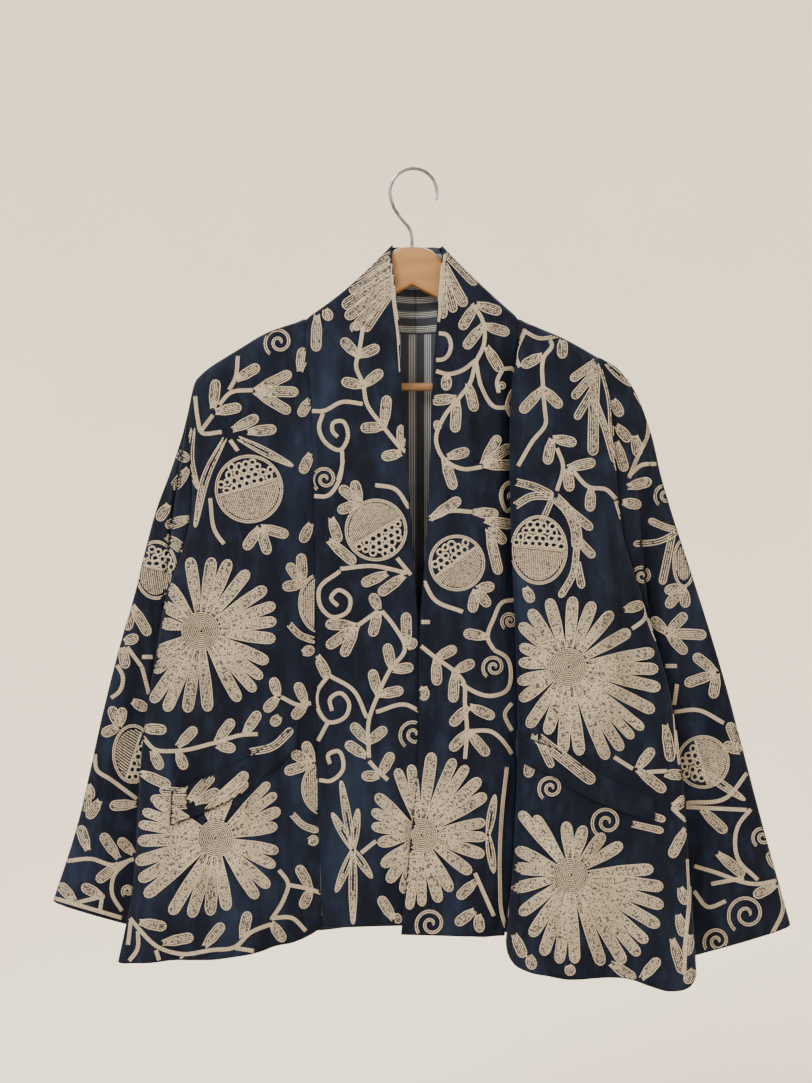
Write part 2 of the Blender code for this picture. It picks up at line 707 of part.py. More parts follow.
# Pocket welts, lying on the fronts
for side in sides:
    points, normals = front_grids[side]
    welt = pocket_welt[side]
    stations = [welt[0][0]] + [across for across in front_across
                               if welt[0][0] + 0.01 < across < welt[-1][0] - 0.01]
    under = []
    for across in stations + [welt[-1][0]]:
        column = np.interp(across, front_across, range(len(front_across)))
        drops = [-gridPlace(points, column, row)[2] for row in body_rows]
        upper, lower = lookUp(welt, across)
        line = []
        for share in (0.0, 0.34, 0.67, 1.0):
            row = np.interp(upper + (lower - upper) * share, drops, list(body_rows))
            line.append(gridPlace(points, column, row)
                        + gridPlace(normals, column, row) * welt_clear)
        under.append(line)
    under = np.array(under)
    lift = gridNormals(under, False, side_sign[side])
    clothWall(side + "_pocket_welt", under + lift * welt_thick, under, False, thread)

# Hanger board
right_half = [(-x, drop) for x, drop in board_half[1:]]
outline = board_half + [(0, board_foot_apex)] + right_half[::-1]
board = addPart("hanger_board", outlinePlate("hanger_board", outline, board_thick,
                                             board_edge_round), wood, 0.45)
socket = bar_end + fit_clear
addCutter("bar_sockets", tubeMesh("bar_sockets", [(-socket, bar_drop), (socket, bar_drop)],
                                  bar_radius + fit_clear), board)
addCutter("stem_hole", tubeMesh("stem_hole", [(0, 74), (0, hook_stem_drop + fit_clear)],
                                hook_wire_radius + fit_clear), board)

# Hanger bar
addPart("hanger_bar", tubeMesh("hanger_bar", [(-bar_end, bar_drop), (bar_end, bar_drop)],
                               bar_radius), wood, 0.45)

# Hanger hook
ring_drop = hook_ring_radius - hook_wire_radius
hook_path = []
for step in range(23):
    angle = math.radians(-20 + 10 * step)
    hook_path.append((hook_centre_x + hook_ring_radius * math.cos(angle),
                      ring_drop - hook_ring_radius * math.sin(angle)))
hook_path += hook_tail + [(0, hook_stem_drop)]
addPart("hanger_hook", tubeMesh("hanger_hook", hook_path, hook_wire_radius), steel, 0.3, 1.0)
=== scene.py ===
import math

import bpy
import numpy as np
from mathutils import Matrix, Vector
from mathutils.bvhtree import BVHTree


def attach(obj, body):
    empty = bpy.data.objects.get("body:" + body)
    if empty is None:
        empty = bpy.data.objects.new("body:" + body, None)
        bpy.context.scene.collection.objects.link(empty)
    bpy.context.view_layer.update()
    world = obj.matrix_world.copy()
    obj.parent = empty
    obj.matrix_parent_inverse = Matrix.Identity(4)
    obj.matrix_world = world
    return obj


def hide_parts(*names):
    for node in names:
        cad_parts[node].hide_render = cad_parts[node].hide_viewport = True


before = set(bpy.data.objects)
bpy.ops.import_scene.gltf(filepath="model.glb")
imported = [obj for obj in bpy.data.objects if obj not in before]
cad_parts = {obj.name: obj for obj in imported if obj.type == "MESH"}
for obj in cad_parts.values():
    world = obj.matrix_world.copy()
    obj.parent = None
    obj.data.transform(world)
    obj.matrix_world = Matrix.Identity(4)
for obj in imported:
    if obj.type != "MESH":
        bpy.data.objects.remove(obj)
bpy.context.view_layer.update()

mm = 0.001
sides = ("right", "left")
whole = slice(None)

# Cloth sizes, millimetres
velvetThick = 2.0
liningThick = 1.2
weltThick = 1.5
seamGap = 0.3
seamShift = 0.2
liningClear = 1.0
liningHemShare = 0.975
liningTopSteps = (0.0, 0.1, 0.45)
liningTopDrop = 0.0018
liningTopSlope = 0.032
turnWidth = 16.0
armholeHalfDepth = 13.0
frontRound = 26.0
backRound = 16.0

sideSign = {"right": -1.0, "left": 1.0}

# Side edge of the body: drop, x, y of the middle of the edge
sideEdge = {
    "right": [
        (225, -233, 0), (251, -238, -2), (282, -239, -3), (349, -235, -4),
        (399, -242, -5), (464, -265, -9), (521, -274, -12), (608, -287, -18),
        (700, -291, -30), (762, -294, -38), (839, -307, -46)],
    "left": [
        (201, 200, 0), (222, 206, -2), (247, 212, -3), (320, 217, -4),
        (390, 224, -6), (427, 234, -7), (462, 247, -9), (528, 266, -15),
        (586, 278, -22), (671, 287, -36), (743, 289, -50), (846, 294, -62)],
}
underarmDrop = {"right": 464.0, "left": 462.0}

# Seam of the front band: drop, x
bandSeam = {
    "right": [
        (160, -114), (204, -113), (250, -108), (294, -106), (384, -104),
        (487, -102), (593, -101), (672, -99), (804, -94)],
    "left": [
        (160, 115), (200, 113), (250, 111), (300, 111), (400, 111),
        (500, 112), (600, 112), (700, 108), (760, 104), (812, 97)],
}

# Front panel depth: drop, y at the seam, y of the lip beside it, y mid, y at the side
frontDepth = {
    "right": [
        (160, -16, -18, -21, -15), (230, -22, -24, -26, -20),
        (300, -26, -28, -33, -26), (400, -29, -31, -38, -28),
        (500, -32, -34, -40, -28), (600, -36, -38, -44, -32),
        (700, -40, -43, -52, -42), (760, -44, -48, -58, -50),
        (840, -46, -53, -62, -56)],
    "left": [
        (160, -14, -19, -22, -15), (215, -11, -26, -28, -20),
        (300, -10, -33, -36, -28), (400, -15, -37, -42, -30),
        (500, -24, -40, -48, -32), (600, -30, -45, -57, -38),
        (700, -37, -56, -68, -50), (760, -43, -66, -76, -60),
        (850, -50, -74, -82, -72)],
}

# How far the front's lip rolls over the band seam: drop, x shift toward the centre
lipRoll = {
    "right": [(160, 0), (300, 2), (600, 3), (840, 4)],
    "left": [
        (160, 0), (185, 4), (230, 13), (330, 17), (450, 16), (600, 14), (740, 14), (850, 12)],
}

# Shoulder line of each front: share of the way from the band seam, drop
shoulderLine = {
    "right": [(0.0, 160), (0.38, 176), (0.62, 193), (0.76, 203), (0.91, 215), (1.0, 225)],
    "left": [(0.0, 160), (0.36, 173), (0.53, 179), (0.76, 189), (1.0, 201)],
}

# Hem of each front: share of the way from the band seam, drop
hemLine = {
    "right": [(0.0, 804), (0.09, 812), (0.38, 826), (0.74, 837), (1.0, 839)],
    "left": [
        (0.0, 812), (0.08, 831), (0.18, 841), (0.46, 845), (0.69, 851),
        (0.86, 859), (0.94, 858), (1.0, 846)],
}

# Soft folds of the fronts: share and drop at the top, share and drop at the foot,
# half width, height toward the viewer
frontFolds = {
    "right": [
        (0.90, 260, 0.66, 600, 24, 6), (0.95, 440, 0.70, 700, 22, -7),
        (0.34, 230, 0.26, 560, 20, 4), (0.46, 560, 0.42, 870, 28, 8),
        (0.74, 600, 0.78, 870, 24, -9)],
    "left": [
        (0.86, 240, 0.70, 560, 22, 6), (0.96, 430, 0.66, 680, 22, -7),
        (0.42, 220, 0.34, 520, 20, -5), (0.36, 560, 0.34, 890, 26, 9),
        (0.60, 600, 0.63, 890, 24, -9), (0.86, 700, 0.87, 890, 20, 7)],
}

# Back panel depth: drop, y near the side, y a hand in, y of the middle
backDepth = {
    "right": [
        (180, 13, 15, 16), (300, 14, 16, 18), (390, 9, 13, 20), (430, 4, 10, 20),
        (455, -2, 7, 21), (485, -4, 4, 22), (520, -5, 3, 22), (600, -7, 1, 22),
        (700, -17, 0, 22), (762, -26, -3, 22), (840, -34, -7, 22)],
    "left": [
        (180, 13, 15, 16), (300, 14, 16, 18), (385, 9, 13, 20), (425, 4, 10, 20),
        (450, -2, 7, 21), (480, -4, 4, 22), (520, -6, 2, 22), (600, -11, 0, 22),
        (700, -25, -3, 22), (762, -38, -8, 22), (845, -50, -12, 22)],
}
backReach = (16.0, 80.0, 148.0)
backHemCentre = 818.0

# Soft folds of the back: x and drop at the top, x and drop at the foot, half width, height
backFolds = [
    (-120, 240, -150, 800, 24, 6), (-60, 330, -80, 810, 26, -6), (10, 260, 0, 810, 30, 5),
    (72, 350, 90, 810, 24, -6), (118, 250, 140, 800, 26, 6)]

# Back neck seam, right side to left side: x, drop, y
neckSeam = [
    (-114, 160, 0), (-110, 163, 8), (-98, 167, 13), (-76, 170, 16), (-50, 173, 18.5),
    (-22, 174.5, 20), (4, 175, 20), (30, 174.5, 20), (58, 173, 18.5), (84, 170, 16),
    (104, 167, 13), (112, 163, 8), (115, 160, 0)]

# Free edge of the band up the front: drop, x, y
bandFree = {
    "right": [
        (81, -22, 0), (86, -23, -9), (101, -22, -14), (134, -18, -18), (178, -14, -22),
        (237, -12, -26), (300, -7, -30), (392, -1, -36), (504, 6, -42), (627, 7, -44),
        (801, 7, -47)],
    "left": [
        (82, 33, 0), (87, 34, -9), (102, 32, -14), (134, 29, -18), (178, 26, -22),
        (237, 22, -27), (300, 20, -32), (392, 16, -38), (504, 8, -45), (627, 7, -48),
        (720, -2, -51), (809, -11, -54)],
}
bandFreeHem = {"right": 801.0, "left": 809.0}

# Free edge of the standing collar behind the neck, shoulder to centre: x, drop, y
collarTop = {
    "right": [
        (-22, 81, 0), (-22, 81, 8), (-20, 80.5, 13), (-15, 80, 16), (-9, 80, 18),
        (-3, 80, 19.5), (4, 80, 20)],
    "left": [
        (33, 82, 0), (32, 81.5, 8), (30, 81, 13), (24, 80, 16), (17, 80, 18),
        (10, 80, 19.5), (4, 80, 20)],
}
collarSag = {"right": 5.0, "left": 2.0}
neckRiseShare = 0.27
bandValley = {"right": 0.12, "left": 0.26}

# Sleeve rings: share of the length, outer x and drop, inner x and drop,
# y at the outer and inner edges, half depth
sleeveRings = {
    "right": [
        (0.04, -237, 238, -269, 472, 0, -5, 12), (0.08, -241, 256, -270, 483, 2, 5, 11),
        (0.13, -247, 280, -266, 497, 4, 12.5, 11), (0.20, -261, 322, -257, 520, 6, 15, 11),
        (0.30, -282, 380, -243, 560, 7, 16, 12), (0.42, -298, 446, -237, 602, 8, 17, 12),
        (0.56, -320, 524, -231, 654, 7, 16, 12), (0.70, -341, 612, -226, 710, 5, 14, 12),
        (0.84, -359, 698, -221, 770, 2, 11, 13), (1.00, -386, 787, -217, 834, -6, 4, 14)],
    "left": [
        (0.04, 213, 208, 252.5, 470, 0, -5, 12), (0.08, 226, 217, 256, 482, 1, 3, 12),
        (0.13, 241, 238, 251, 498, 4, 10, 11), (0.20, 259, 282, 248, 524, 7, 14, 11),
        (0.30, 274, 343, 244, 566, 8, 16, 12), (0.42, 296, 412, 242, 612, 8, 17, 12),
        (0.56, 322, 494, 240, 668, 7, 16, 12), (0.70, 345, 574, 239, 728, 5, 14, 12),
        (0.84, 370, 674, 238, 792, 2, 11, 13), (1.00, 407, 813, 238, 862, -6, 4, 14)],
}
# Soft folds of the sleeves: share round from the outer edge and share down at the top,
# the same at the foot, half width as a share round, height outward
sleeveFolds = [
    (0.16, 0.18, 0.30, 0.62, 0.05, 4.0), (0.30, 0.40, 0.20, 0.90, 0.06, -4.0),
    (0.70, 0.20, 0.62, 0.70, 0.06, 4.0), (0.78, 0.45, 0.84, 0.95, 0.05, -3.5)]

# Pocket welts on the fronts: share across, drop of the upper edge, drop of the lower edge
pocketWelt = {
    "right": [
        (0.14, 594, 617), (0.24, 606, 634), (0.36, 621, 652), (0.50, 635, 668),
        (0.64, 647, 682), (0.78, 657, 693), (0.88, 664, 698)],
    "left": [
        (0.08, 600, 626), (0.20, 611, 640), (0.34, 626, 655), (0.48, 639, 668),
        (0.62, 652, 679), (0.76, 662, 686), (0.88, 670, 690)],
}

armholeSteps = 12
bodyStepsBelow = 11
frontAcross = [0, 0.04, 0.08, 0.12, 0.17, 0.24, 0.32, 0.40, 0.48, 0.56, 0.64, 0.72, 0.80,
                0.90, 1.0, 1.28, 1.56, 1.8, 2.0]
backAcross = [2.0, 1.7, 1.35, 1.0, 0.86, 0.7, 0.55, 0.4, 0.26, 0.13]
bandAcross = [0, 0.1, 0.2, 0.34, 0.56, 0.78, 1.0]


def ease(share):
    share = min(max(share, 0.0), 1.0)
    return share * share * (3.0 - 2.0 * share)


def curveBetween(share, low, high, start, finish):
    # smooth way from low to high that sets out with start and comes in with finish
    return (low * (2 * share ** 3 - 3 * share ** 2 + 1)
            + start * (share ** 3 - 2 * share ** 2 + share)
            + high * (3 * share ** 2 - 2 * share ** 3)
            + finish * (share ** 3 - share ** 2))


def lookUp(table, key):
    # smooth value at a key of a table whose rows start with their keys
    keys = [row[0] for row in table]
    rows = [np.array(row[1:], float) for row in table]
    if key <= keys[0]:
        return rows[0]
    if key >= keys[-1]:
        return rows[-1]
    low = max(index for index, value in enumerate(keys) if value <= key)
    low = min(low, len(keys) - 2)
    high = low + 1
    span = keys[high] - keys[low]
    step = (rows[high] - rows[low]) / span
    before = step if low == 0 else (rows[low] - rows[low - 1]) / (keys[low] - keys[low - 1])
    after = step
    if high < len(keys) - 1:
        after = (rows[high + 1] - rows[high]) / (keys[high + 1] - keys[high])
    start = np.where(before * step > 0, 0.5 * (before + step), 0.0)
    finish = np.where(after * step > 0, 0.5 * (after + step), 0.0)
    share = (key - keys[low]) / span
    return curveBetween(share, rows[low], rows[high], start * span, finish * span)


def foldHeight(folds, place, drop, scale):
    total = 0.0
    for topPlace, topDrop, lowPlace, lowDrop, halfWidth, height in folds:
        run = (drop - topDrop) / (lowDrop - topDrop)
        if run <= 0.0:
            continue
        centre = topPlace + (lowPlace - topPlace) * min(run, 1.0)
        away = (place - centre) * scale / halfWidth
        fade = ease(run / 0.3) * (1.0 - ease((run - 0.86) / 0.3))
        total += height * fade * math.exp(-away * away)
    return total


def roundTop(depthBelow, radius):
    if depthBelow >= radius:
        return 1.0
    return math.sqrt(max(0.0, 1.0 - (1.0 - depthBelow / radius) ** 2))


def rowShare(side, row):
    tip = sideEdge[side][0][0]
    hem = sideEdge[side][-1][0]
    under = underarmDrop[side]
    if row <= armholeSteps:
        turn = math.pi * row / armholeSteps
        drop = tip + (under - tip) * 0.5 * (1.0 - math.cos(turn))
    else:
        drop = under + (hem - under) * (row - armholeSteps) / bodyStepsBelow
    return (drop - tip) / (hem - tip)


def armholeHalf(side, drop):
    tip = sideEdge[side][0][0]
    share = (drop - tip) / (underarmDrop[side] - tip)
    if share <= 0.0 or share >= 1.0:
        return 0.0
    return armholeHalfDepth * math.sqrt(1.0 - (1.0 - 2.0 * share) ** 2)


def sideX(side, drop):
    return lookUp(sideEdge[side], drop)[0]


def acrossSpan(side, across, drop):
    seamX = lookUp(bandSeam[side], drop)[0]
    edgeX = sideX(side, drop)
    width = abs(edgeX - seamX)
    flat = (width - turnWidth) / width
    if across <= 1.0:
        share = across * flat
    else:
        turn = (across - 1.0) * math.pi / 2
        share = flat + (1.0 - flat) * math.sin(turn)
    return seamX + (edgeX - seamX) * share, share, width


def frontPoint(side, across, shareDown):
    sign = sideSign[side]
    top = lookUp(shoulderLine[side], acrossSpan(side, across, sideEdge[side][0][0])[1])[0]
    hem = lookUp(hemLine[side], acrossSpan(side, across, sideEdge[side][-1][0])[1])[0]
    drop = top + (hem - top) * shareDown
    x, place, width = acrossSpan(side, across, drop)
    seamY, lipY, midY, sideY = lookUp(frontDepth[side], drop)
    flat = min(across, 1.0)
    panelY = lookUp([(0.0, lipY), (0.5, midY), (1.0, sideY)], flat)[0]
    panelY -= foldHeight(frontFolds[side], flat, drop, width) * ease(flat / 0.15)
    lip = ease(flat / 0.15)
    y = seamY + (panelY - seamY) * lip
    roll = lookUp(lipRoll[side], drop)[0]
    if flat < 0.24:
        x -= sign * roll * math.sin(math.pi * flat / 0.24)
    y *= roundTop(drop - top, frontRound)
    if across > 1.0:
        edgeY = lookUp(sideEdge[side], drop)[1] - armholeHalf(side, drop)
        y = edgeY + (y - edgeY) * math.cos((across - 1.0) * math.pi / 2)
    return np.array((x, y - seamGap / 2, -drop))


def backRise(side, x, drop):
    near, hand, middle = lookUp(backDepth[side], drop)
    inward = abs(sideX(side, drop) - x)
    rise = lookUp([(backReach[0], near), (backReach[1], hand), (backReach[2], middle)],
                  inward)[0]
    return rise + foldHeight(backFolds, x, drop, 1.0)


def backPoint(side, across, shareDown):
    tip, sideHem = sideEdge[side][0][0], sideEdge[side][-1][0]
    top = lookUp(shoulderLine[side], acrossSpan(side, across, tip)[1])[0]
    share = acrossSpan(side, across, sideHem)[1]
    hem = backHemCentre + (sideHem - backHemCentre) * (0.35 + 0.65 * share)
    drop = top + (hem - top) * shareDown
    x = acrossSpan(side, across, drop)[0]
    y = backRise(side, x, drop) * roundTop(drop - top, backRound)
    if across > 1.0:
        edgeY = lookUp(sideEdge[side], drop)[1] + armholeHalf(side, drop)
        y = edgeY + (y - edgeY) * math.cos((across - 1.0) * math.pi / 2)
    return np.array((x, y + seamGap / 2, -drop))


def backNeckPoint(index, shareDown):
    topX, topDrop, topY = neckSeam[index]
    middle = (neckSeam[0][0] + neckSeam[-1][0]) / 2.0
    out = abs(topX - middle) / (neckSeam[-1][0] - middle)
    side = "right" if topX < middle else "left"
    sideHem = sideEdge[side][-1][0]
    hem = backHemCentre + (sideHem - backHemCentre) * 0.35 * out ** 2
    drop = topDrop + (hem - topDrop) * shareDown
    low = lookUp(bandSeam["right"], drop)[0]
    high = lookUp(bandSeam["left"], drop)[0]
    x = low + (high - low) * (topX - neckSeam[0][0]) / (neckSeam[-1][0] - neckSeam[0][0])
    fullY = backRise(side, x, drop)
    y = topY + (fullY - topY) * roundTop(drop - topDrop, backRound + 24.0 * (1.0 - out))
    return np.array((x, y + seamGap / 2, -drop))


def bandDepth(side, across, seamY, freeY, lipY):
    openY = lipY + (freeY - lipY) * across
    return seamY + (openY - seamY) * ease(across / bandValley[side])


def bandFrontPoint(side, across, shareDown):
    seam = frontPoint(side, 0.0, shareDown)
    top = shoulderLine[side][0][1]
    hem = hemLine[side][0][1]
    rise = (top - bandFree[side][0][0]) * (1.0 - ease(shareDown / neckRiseShare))
    level = -seam[2] - rise
    stretch = (bandFreeHem[side] - hem) * ease((shareDown - 0.8) / 0.2)
    freeX, freeY = lookUp(bandFree[side], level + stretch)
    drop = -seam[2] + (level + stretch + seam[2]) * across
    sag = collarSag[side] * (1.0 - ease(shareDown / neckRiseShare))
    drop += sag * math.sin(math.pi * across)
    lipY = lookUp(frontDepth[side], -seam[2])[1] + 3.0
    lipY *= roundTop(-seam[2] - top, frontRound)
    y = bandDepth(side, across, seam[1], freeY, max(lipY, freeY))
    x = seam[0] + (freeX - seam[0]) * across
    return np.array((x, y, -drop))


def bandBackPoint(side, across, index):
    seam = neckSeam[index] if side == "right" else neckSeam[len(neckSeam) - 1 - index]
    free = collarTop[side][index]
    seam = np.array((seam[0], seam[2] + seamGap / 2, -seam[1]))
    free = np.array((free[0], free[2] + seamGap / 2, -free[1]))
    point = seam + (free - seam) * across
    bow = math.sin(math.pi * across)
    point[2] -= collarSag[side] * (1.0 - index / 6.0) * bow
    point[1] += 2.0 * bow * index / 6.0
    return point


def sleeveFold(turnShare, lengthShare):
    total = 0.0
    for topTurn, topShare, lowTurn, lowShare, halfWidth, height in sleeveFolds:
        run = (lengthShare - topShare) / (lowShare - topShare)
        if 0.0 < run < 1.0:
            centre = topTurn + (lowTurn - topTurn) * run
            away = (turnShare - centre) / halfWidth
            total += height * math.sin(math.pi * run) ** 0.7 * math.exp(-away * away)
    return total


def sleevePoint(side, step, lengthShare):
    turn = math.pi * step / armholeSteps
    down = 0.5 * (1.0 - math.cos(turn))
    row = step if step <= armholeSteps else 2 * armholeSteps - step
    maker = frontPoint if step <= armholeSteps else backPoint
    start = maker(side, 2.0, rowShare(side, row))
    if row in (0, armholeSteps):
        start[1] += seamGap / 2
    start[0] += sideSign[side] * seamGap
    if lengthShare == 0.0:
        return start
    ring = sleeveRings[side]
    shape = lookUp(ring, max(lengthShare, ring[0][0]))
    outerX, outerDrop, innerX, innerDrop, outerY, innerY, half = shape
    half += sleeveFold(step / (2.0 * armholeSteps), lengthShare)
    x = outerX + (innerX - outerX) * down
    drop = outerDrop + (innerDrop - outerDrop) * down
    y = outerY + (innerY - outerY) * down - half * math.sin(turn)
    point = np.array((x, y, -drop))
    if lengthShare < ring[0][0]:
        point = start + (point - start) * lengthShare / ring[0][0]
    return point


def unit(vectors):
    return vectors / np.linalg.norm(vectors, axis=-1, keepdims=True)


def clearEdge(points, axis, at, amount):
    # a grid with one edge line drawn back along the cloth
    moved = points.copy()
    index = (at, slice(None)) if axis == 0 else (slice(None), at)
    step = 1 if at == 0 else -2
    beside = (step, slice(None)) if axis == 0 else (slice(None), step)
    moved[index] += unit(points[beside] - points[index]) * amount
    return moved


def gridNormals(points, closed, sign):
    down = np.gradient(points, axis=0)
    if closed:
        over = np.roll(points, -1, axis=1) - np.roll(points, 1, axis=1)
    else:
        over = np.gradient(points, axis=1)
    return unit(np.cross(over, down) * sign)


def levelNormals(normals, lines, columns, axis):
    # sewn edges share one plane, so their normals have no part along the given axis
    leveled = normals.copy()
    leveled[lines, columns, axis] = 0.0
    return unit(leveled)


def smoothAlong(points, steps, closed=False, calm=False):
    # smooth curve through the points of the first axis, whatever their spacing; calm ones turn
    # sharp corners without swinging past them
    count = len(points)
    spans = count if closed else count - 1
    after = (np.roll(points, -1, axis=0) if closed else points[1:]) - points[:spans]
    gaps = np.linalg.norm(after, axis=-1).reshape(spans, -1).mean(axis=1) + 1e-9
    gaps = gaps.reshape(-1, *([1] * (points.ndim - 1)))
    slopes = after / gaps

    def eased(before, tangents, beyond):
        size = np.linalg.norm(before, axis=-1) * np.linalg.norm(beyond, axis=-1) + 1e-9
        bend = (before * beyond).sum(axis=-1) / size
        return tangents * np.clip(bend, 0.0, 1.0)[..., None] if calm else tangents

    if closed:
        into, span = np.roll(slopes, 1, axis=0), np.roll(gaps, 1, axis=0)
        tangents = eased(into, (slopes * span + into * gaps) / (gaps + span), slopes)
    else:
        inner = (slopes[1:] * gaps[:-1] + slopes[:-1] * gaps[1:]) / (gaps[1:] + gaps[:-1])
        inner = eased(slopes[:-1], inner, slopes[1:])
        tangents = np.concatenate([slopes[:1], inner, slopes[-1:]])
    at = np.arange(spans * steps + (0 if closed else 1)) / steps
    low = np.minimum(at.astype(int), spans - 1)
    high = (low + 1) % count
    share = (at - low).reshape(-1, *([1] * (points.ndim - 1)))
    gap = gaps[low]
    return curveBetween(share, points[low], points[high], tangents[low] * gap,
                        tangents[high] * gap)


def denser(grid, steps, closed=False):
    tall = smoothAlong(grid, steps[0], calm=True)
    return smoothAlong(tall.swapaxes(0, 1), steps[1], closed, calm=True).swapaxes(0, 1)


def easeAll(shares):
    shares = np.clip(shares, 0.0, 1.0)
    return shares * shares * (3.0 - 2.0 * shares)


def creaseLift(x, drop, creases):
    # soft ridges and troughs from one end to the other: x, drop, x, drop, half width, height
    total = np.zeros_like(x)
    for startX, startDrop, endX, endDrop, half, height in creases:
        over, down = endX - startX, endDrop - startDrop
        length = math.hypot(over, down)
        run = ((x - startX) * over + (drop - startDrop) * down) / length ** 2
        bow = 0.12 * length * np.sin(math.pi * np.clip(run, 0, 1)) * (1 if height > 0 else -1)
        away = ((x - startX) * down - (drop - startDrop) * over) / length - bow
        fade = np.sin(math.pi * np.clip(run, 0.0, 1.0)) ** 1.3
        total += height * fade * np.exp(-(away / half) ** 2)
    return total


def edgeRuns(points):
    # millimetres along the cloth from each of a grid's four edges
    over = np.linalg.norm(np.diff(points, axis=1), axis=2)
    down = np.linalg.norm(np.diff(points, axis=0), axis=2)
    fromFirst = np.concatenate([np.zeros((len(points), 1)), np.cumsum(over, axis=1)], axis=1)
    fromTop = np.concatenate([np.zeros((1, points.shape[1])), np.cumsum(down, axis=0)])
    return {"first": fromFirst, "last": fromFirst[:, -1:] - fromFirst,
            "top": fromTop, "foot": fromTop[-1:] - fromTop}


def gridFaces(index, closed):
    left = index if closed else index[:, :-1]
    right = np.roll(index, -1, axis=1) if closed else index[:, 1:]
    return np.stack([left[:-1], left[1:], right[1:], right[:-1]], axis=-1).reshape(-1, 4)


def shellMesh(name, outer, inner, closed, free, roll):
    # closed wall between two skins, its free edges rolled
    lines, columns = outer.shape[:2]
    index = np.arange(lines * columns).reshape(lines, columns)
    quads = gridFaces(index, closed)
    faces = [quads, quads[:, ::-1] + lines * columns]
    points = [outer.reshape(-1, 3), inner.reshape(-1, 3)]
    runs = edgeRuns(outer)
    flat = np.stack([runs["first"], -runs["top"]], axis=-1).reshape(-1, 2)
    flats = [flat, flat]
    loops = [index[0], index[-1, ::-1]]
    if not closed:
        loops = [np.concatenate([index[0, :-1], index[:-1, -1],
                                 index[-1, :0:-1], index[:0:-1, 0]])]
    # free edges roll outward, and sewn ones close up to their neighbour
    outward = np.zeros_like(outer)
    edges = {"top": (0, 1), "foot": (-1, -2)}
    for edge, (at, beside) in edges.items():
        outward[at] += unit(outer[at] - outer[beside]) * (roll if edge in free else seamGap / 2)
    edges = {} if closed else {"first": (0, 1), "last": (-1, -2)}
    for edge, (at, beside) in edges.items():
        out = roll if edge in free else seamGap / 2
        outward[:, at] += unit(outer[:, at] - outer[:, beside]) * out
    outward = outward.reshape(-1, 3)
    first = 2 * lines * columns
    for loop in loops:
        middle = (points[0][loop] + points[1][loop]) / 2 + outward[loop]
        points.append(middle)
        flats.append(flat[loop])
        here = first + np.arange(len(loop))
        first += len(loop)
        after, hereAfter = np.roll(loop, -1), np.roll(here, -1)
        faces.append(np.stack([loop, after, hereAfter, here], axis=-1))
        faces.append(np.stack([here, hereAfter, after + lines * columns,
                               loop + lines * columns], axis=-1))
    points = np.concatenate(points) * mm
    faces = np.concatenate(faces)
    flats = np.concatenate(flats) * mm
    corners = points[faces]
    volume = np.einsum("ij,ij->i", corners[:, 0], np.cross(corners[:, 1], corners[:, 2])).sum()
    volume += np.einsum("ij,ij->i", corners[:, 0], np.cross(corners[:, 2], corners[:, 3])).sum()
    if volume < 0:
        faces = faces[:, ::-1]
    mesh = bpy.data.meshes.new(name)
    mesh.from_pydata(points.tolist(), [], faces.tolist())
    mesh.shade_smooth()
    layer = mesh.uv_layers.new(name="cloth")
    layer.data.foreach_set("uv", flats[faces.reshape(-1)].reshape(-1))
    return mesh


def newObject(name, data):
    made = bpy.data.objects.new(name, data)
    bpy.context.scene.collection.objects.link(made)
    return made


def addPiece(name, mesh, material):
    mesh.materials.append(material)
    return newObject(name, mesh)


def panelMesh(name, points, normals, look, closed=False, sign=1.0):
    # dense skins of one panel with its creases, seam grooves and hem wave
    fine = denser(points, look["steps"], closed)
    wallWay = unit(denser(normals, look["steps"], closed))
    outWay = gridNormals(fine, closed, sign)
    runs = edgeRuns(fine)
    x, drop = fine[..., 0], -fine[..., 2]
    if closed:
        turn = np.arange(fine.shape[1]) / fine.shape[1]
        along = np.arange(fine.shape[0]) / (fine.shape[0] - 1)
        x, drop = np.meshgrid(turn * look["around"], along * look["long"])
    lift = creaseLift(x, drop, look["creases"]) * look["creaseGain"]
    for edge in look["seams"]:
        lift *= easeAll(runs[edge] / look["seamFade"])
    drift = np.sin(x / look["driftLength"]) * look["drift"]
    ripple = look["ripple"] * np.sin(x / look["rippleLength"] + drift)
    near = easeAll(1.0 - runs["foot"] / look["rippleReach"])
    lift += ripple * near * easeAll(runs["first"] / look["rippleStart"])
    shift = outWay * lift[..., None]
    groove = np.zeros_like(lift)
    for edge in look["seams"]:
        dip = look["seamDip"] * np.exp(-(runs[edge] / look["seamWidth"]) ** 2)
        groove = np.maximum(groove, dip)
    outer = fine + shift - outWay * groove[..., None]
    inner = fine + shift - wallWay * look["thick"]
    mesh = shellMesh(name, outer, inner, closed, look["free"], look["roll"])
    return outer, outWay, mesh


